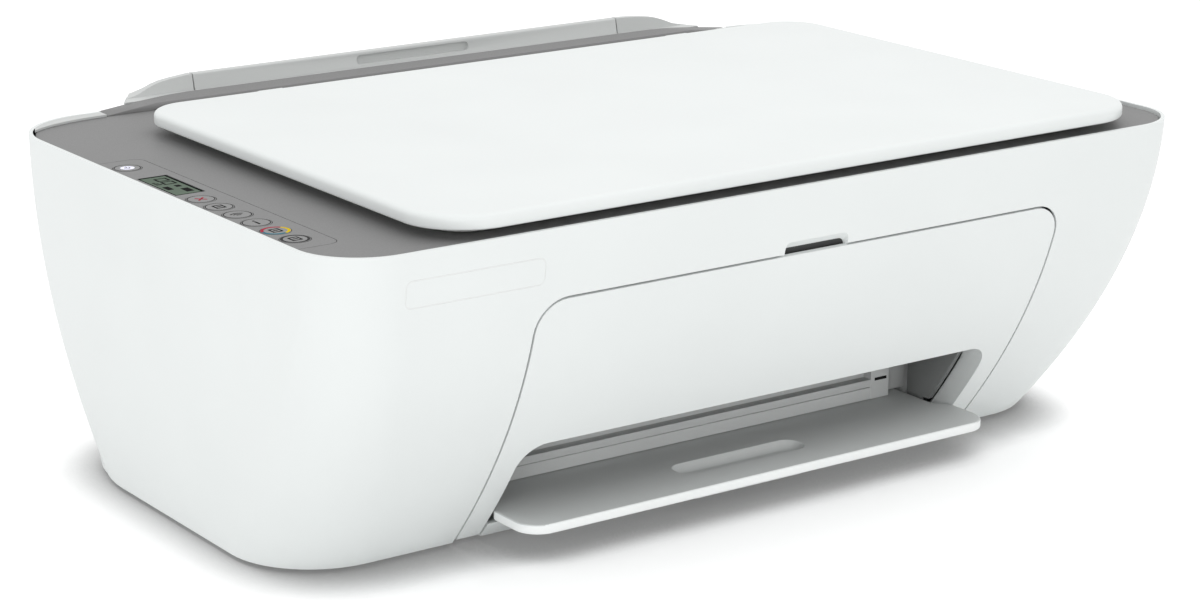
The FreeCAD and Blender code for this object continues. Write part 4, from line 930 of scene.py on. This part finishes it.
# radii, spans and bars of the signs are in millimetres from the cap's middle
def buildButton(node, name, kind, y):
    bm = bmesh.new()
    z = buttonCap(bm, y)
    x = panelLook["buttonX"]
    pale, dark, red, yellow, teal, lamp = 1, 2, 3, 4, 5, 6
    if kind == "lamp":
        overLamp = z + 0.03
        addRing(bm, x, y, z, 0.0, 2.9, 0, 360, 40, lamp)
        addRing(bm, x, y, overLamp, 0.85, 1.25, 125, 415, 24, pale)
        addBar(bm, x, y + 1.0, overLamp, 0.4, 1.3, 0, pale)
        addRing(bm, x, y, z, 5.05, 5.5, 0, 360, 48, pale)
    elif kind == "colours":
        for start, end, ink in ((40, 175, red), (175, 290, teal), (-70, 40, yellow)):
            addRing(bm, x, y, z, 4.45, 5.65, start, end, 24, ink)
    elif kind == "darkRing":
        addRing(bm, x, y, z, 4.5, 5.6, 0, 360, 48, pale)
    else:
        addRing(bm, x, y, z, 5.1, 5.5, 0, 360, 48, dark)
    if kind == "cross":
        for turn in (45, 135):
            addBar(bm, x, y, z, 5.0, 0.75, turn, red)
    if kind == "mark":
        addBar(bm, x, y - 0.8, z, 0.8, 3.8, 0, dark)
        addBar(bm, x, y + 2.3, z, 0.8, 0.9, 0, dark)
    if kind == "waves":
        for radius in (0.9, 2.2, 3.5):
            addRing(bm, x, y - 2.0, z, radius, radius + 0.6, 45, 135, 12, dark)
    if kind in ("sheet", "colours", "darkRing"):
        for side in (-1, 1):
            addBar(bm, x + side * 1.8, y, z, 0.6, 4.4, 0, dark)
            addBar(bm, x, y + side * 2.1, z, 4.1, 0.6, 0, dark)
        addBar(bm, x, y, z, 2.0, 0.6, 0, dark)
    finishPiece(bm, name, node, node + "_cap", iconFinishes, smooth=False)


buildButton("power_button", "powerButton", "lamp", panelLook["powerY"])
for place, (node, name, kind) in enumerate(buttonRow):
    buildButton(node, name, kind, panelLook["firstY"] - place * panelLook["pitch"])

# marks of the display: distance from its middle along x, place along y, length, width
displayLook = dict(x=-200.8, width=12.5, front=-22.0, back=10.7, depth=3.6, border=1.2, edge=0.2, edgeSteps=2,
                   lift=0.01, fieldHeight=0.04, markHeight=0.02, digits=(3.9, -1.9), digitX=0.9, digitHalf=2.3,
                   digitReach=2.0, upright=(0.95, 4.6), cross=(4.6, 0.8),
                   marks=[(-4.4, 0.6, 1.2, 1.0), (-4.05, -1.1, 1.9, 1.0), (-3.7, -2.8, 2.6, 1.0),
                          (1.6, -8.4, 2.4, 3.0), (-3.6, -10.2, 2.6, 5.4), (1.8, -16.0, 3.2, 6.0)])


def buildDisplay():
    look = displayLook
    top = panelLook["top"]
    bm = bmesh.new()
    x0, x1 = look["x"] - look["width"] / 2, look["x"] + look["width"] / 2
    addBlock(bm, x0, x1, look["front"], look["back"], top - look["depth"], top)
    roundOff(bm, bm.edges[:], look["edge"], look["edgeSteps"])
    z = top + look["lift"]
    border = look["border"]
    glass, dark = 1, 2
    # green-grey field with a dark band along its far side, and a few plain segments
    middle = (look["front"] + look["back"]) / 2
    addBar(bm, look["x"] - 0.5 * border, middle - 0.5 * border, z, look["width"] - 1.4 * border,
           look["back"] - look["front"] - 1.6 * border, 0, glass, look["fieldHeight"])
    z += look["fieldHeight"]
    marks = list(look["marks"])
    for y in look["digits"]:
        for side in (-1, 1):
            marks.append((look["digitX"] + side * look["digitHalf"], y, *look["upright"]))
            marks.append((look["digitX"], y + side * look["digitReach"], *look["cross"]))
    for x, y, length, width in marks:
        addBar(bm, look["x"] + x, y, z, length, width, 0, dark, look["markHeight"])
    finishPiece(bm, "displayScreen", "display", "printer",
                [finishes["screen"], extraFinishes["screenGlass"], extraFinishes["iconDark"]], smooth=False)


buildDisplay()
print("controls made")


# stage, light and camera
# dark and pale are the ramp points, position and tone, of the floor's painted contact shadow
floorLook = dict(half=6.0, near=0.03, samples=8, dark=(0.3, 0.22), pale=(0.82, 0.965), roughness=0.9,
                 specular=0.1, plain=(0.96, 0.96, 0.96, 1), glow=0.14)


def buildFloor():
    look = floorLook
    bm = bmesh.new()
    bmesh.ops.create_grid(bm, x_segments=1, y_segments=1, size=look["half"])
    mesh = bpy.data.meshes.new("floor")
    bm.to_mesh(mesh)
    bm.free()
    floor = bpy.data.objects.new("floor", mesh)
    bpy.context.scene.collection.objects.link(floor)
    finish, tree, shader = newFinish("paleFloor")
    # painted contact shadow: the floor's colour is darker only where the part stands close above it
    contactShadow = tree.nodes.new("ShaderNodeAmbientOcclusion")
    contactShadow.inputs["Distance"].default_value = look["near"]
    contactShadow.samples = look["samples"]
    ramp = tree.nodes.new("ShaderNodeValToRGB")
    for element, (position, tone) in zip(ramp.color_ramp.elements, (look["dark"], look["pale"])):
        element.position = position
        element.color = (tone, tone, tone, 1)
    tree.links.new(contactShadow.outputs["AO"], ramp.inputs["Fac"])
    tree.links.new(ramp.outputs["Color"], shader.inputs["Base Color"])
    shader.inputs["Roughness"].default_value = look["roughness"]
    shader.inputs["Specular IOR Level"].default_value = look["specular"]
    # the camera sees the floor a little brighter, so that only the contact shadow shows; other rays see it plain
    plain = tree.nodes.new("ShaderNodeBsdfDiffuse")
    plain.inputs["Color"].default_value = look["plain"]
    path = tree.nodes.new("ShaderNodeLightPath")
    glow = tree.nodes.new("ShaderNodeEmission")
    glow.inputs["Strength"].default_value = look["glow"]
    lifted = tree.nodes.new("ShaderNodeAddShader")
    mix = tree.nodes.new("ShaderNodeMixShader")
    out = [n for n in tree.nodes if n.type == "OUTPUT_MATERIAL"][0]
    for output, socket in ((shader.outputs[0], lifted.inputs[0]), (glow.outputs[0], lifted.inputs[1]),
                           (path.outputs["Is Camera Ray"], mix.inputs["Fac"]), (plain.outputs[0], mix.inputs[1]),
                           (lifted.outputs[0], mix.inputs[2]), (mix.outputs[0], out.inputs["Surface"])):
        tree.links.new(output, socket)
    mesh.materials.append(finish)


worldLook = dict(white=(1, 1, 1, 1), lit=1.05, seen=1.0)


# an even white surround; camera, mirror and glass rays see it a little dimmer than what lights the part
def buildWorld():
    world = bpy.data.worlds.new("studio")
    bpy.context.scene.world = world
    world.use_nodes = True
    tree = world.node_tree
    tree.nodes.clear()
    out = tree.nodes.new("ShaderNodeOutputWorld")
    lit, seen = (tree.nodes.new("ShaderNodeBackground") for i in range(2))
    for background, strength in ((lit, worldLook["lit"]), (seen, worldLook["seen"])):
        background.inputs["Color"].default_value = worldLook["white"]
        background.inputs["Strength"].default_value = strength
    path = tree.nodes.new("ShaderNodeLightPath")
    first, second = (tree.nodes.new("ShaderNodeMath") for i in range(2))
    first.operation = second.operation = "MAXIMUM"
    mix = tree.nodes.new("ShaderNodeMixShader")
    for output, socket in ((path.outputs["Is Camera Ray"], first.inputs[0]),
                           (path.outputs["Is Glossy Ray"], first.inputs[1]), (first.outputs[0], second.inputs[0]),
                           (path.outputs["Is Transmission Ray"], second.inputs[1]),
                           (second.outputs[0], mix.inputs["Fac"]), (lit.outputs[0], mix.inputs[1]),
                           (seen.outputs[0], mix.inputs[2]), (mix.outputs[0], out.inputs["Surface"])):
        tree.links.new(output, socket)


def softLamp(name, place, target, size, power):
    data = bpy.data.lights.new(name, "AREA")
    data.shape = "RECTANGLE"
    data.size, data.size_y = size
    data.energy = power
    lamp = bpy.data.objects.new(name, data)
    bpy.context.scene.collection.objects.link(lamp)
    lamp.location = place
    lamp.rotation_euler = (Vector(target) - Vector(place)).to_track_quat("-Z", "Y").to_euler()


# places and targets in metres, width and height of the lamp, power in watts
lampLooks = {
    "overheadSoftbox": ((0.55, 0.15, 1.35), (0.05, 0, 0.1), (1.2, 1.2), 3.2),
    "cornerSoftbox": ((-1.25, -1.2, 0.45), (-0.19, -0.12, 0.07), (0.5, 0.8), 4.0),
}
cameraLook = dict(place=(-0.7288, -1.0523, 0.4274), yaw=35.02, pitch=16.04, lens=91.32, sensor=36.0, nearest=0.01)


def buildCamera():
    look = cameraLook
    data = bpy.data.cameras.new("camera")
    data.lens = look["lens"]
    data.sensor_width = look["sensor"]
    data.sensor_fit = "HORIZONTAL"
    data.clip_start = look["nearest"]
    camera = bpy.data.objects.new("camera", data)
    bpy.context.scene.collection.objects.link(camera)
    camera.location = look["place"]
    camera.rotation_euler = (math.radians(90 - look["pitch"]), 0, math.radians(-look["yaw"]))
    bpy.context.scene.camera = camera


buildFloor()
buildWorld()
for name, look in lampLooks.items():
    softLamp(name, *look)
buildCamera()
bpy.context.scene.view_settings.view_transform = "Standard"
print("stage made")
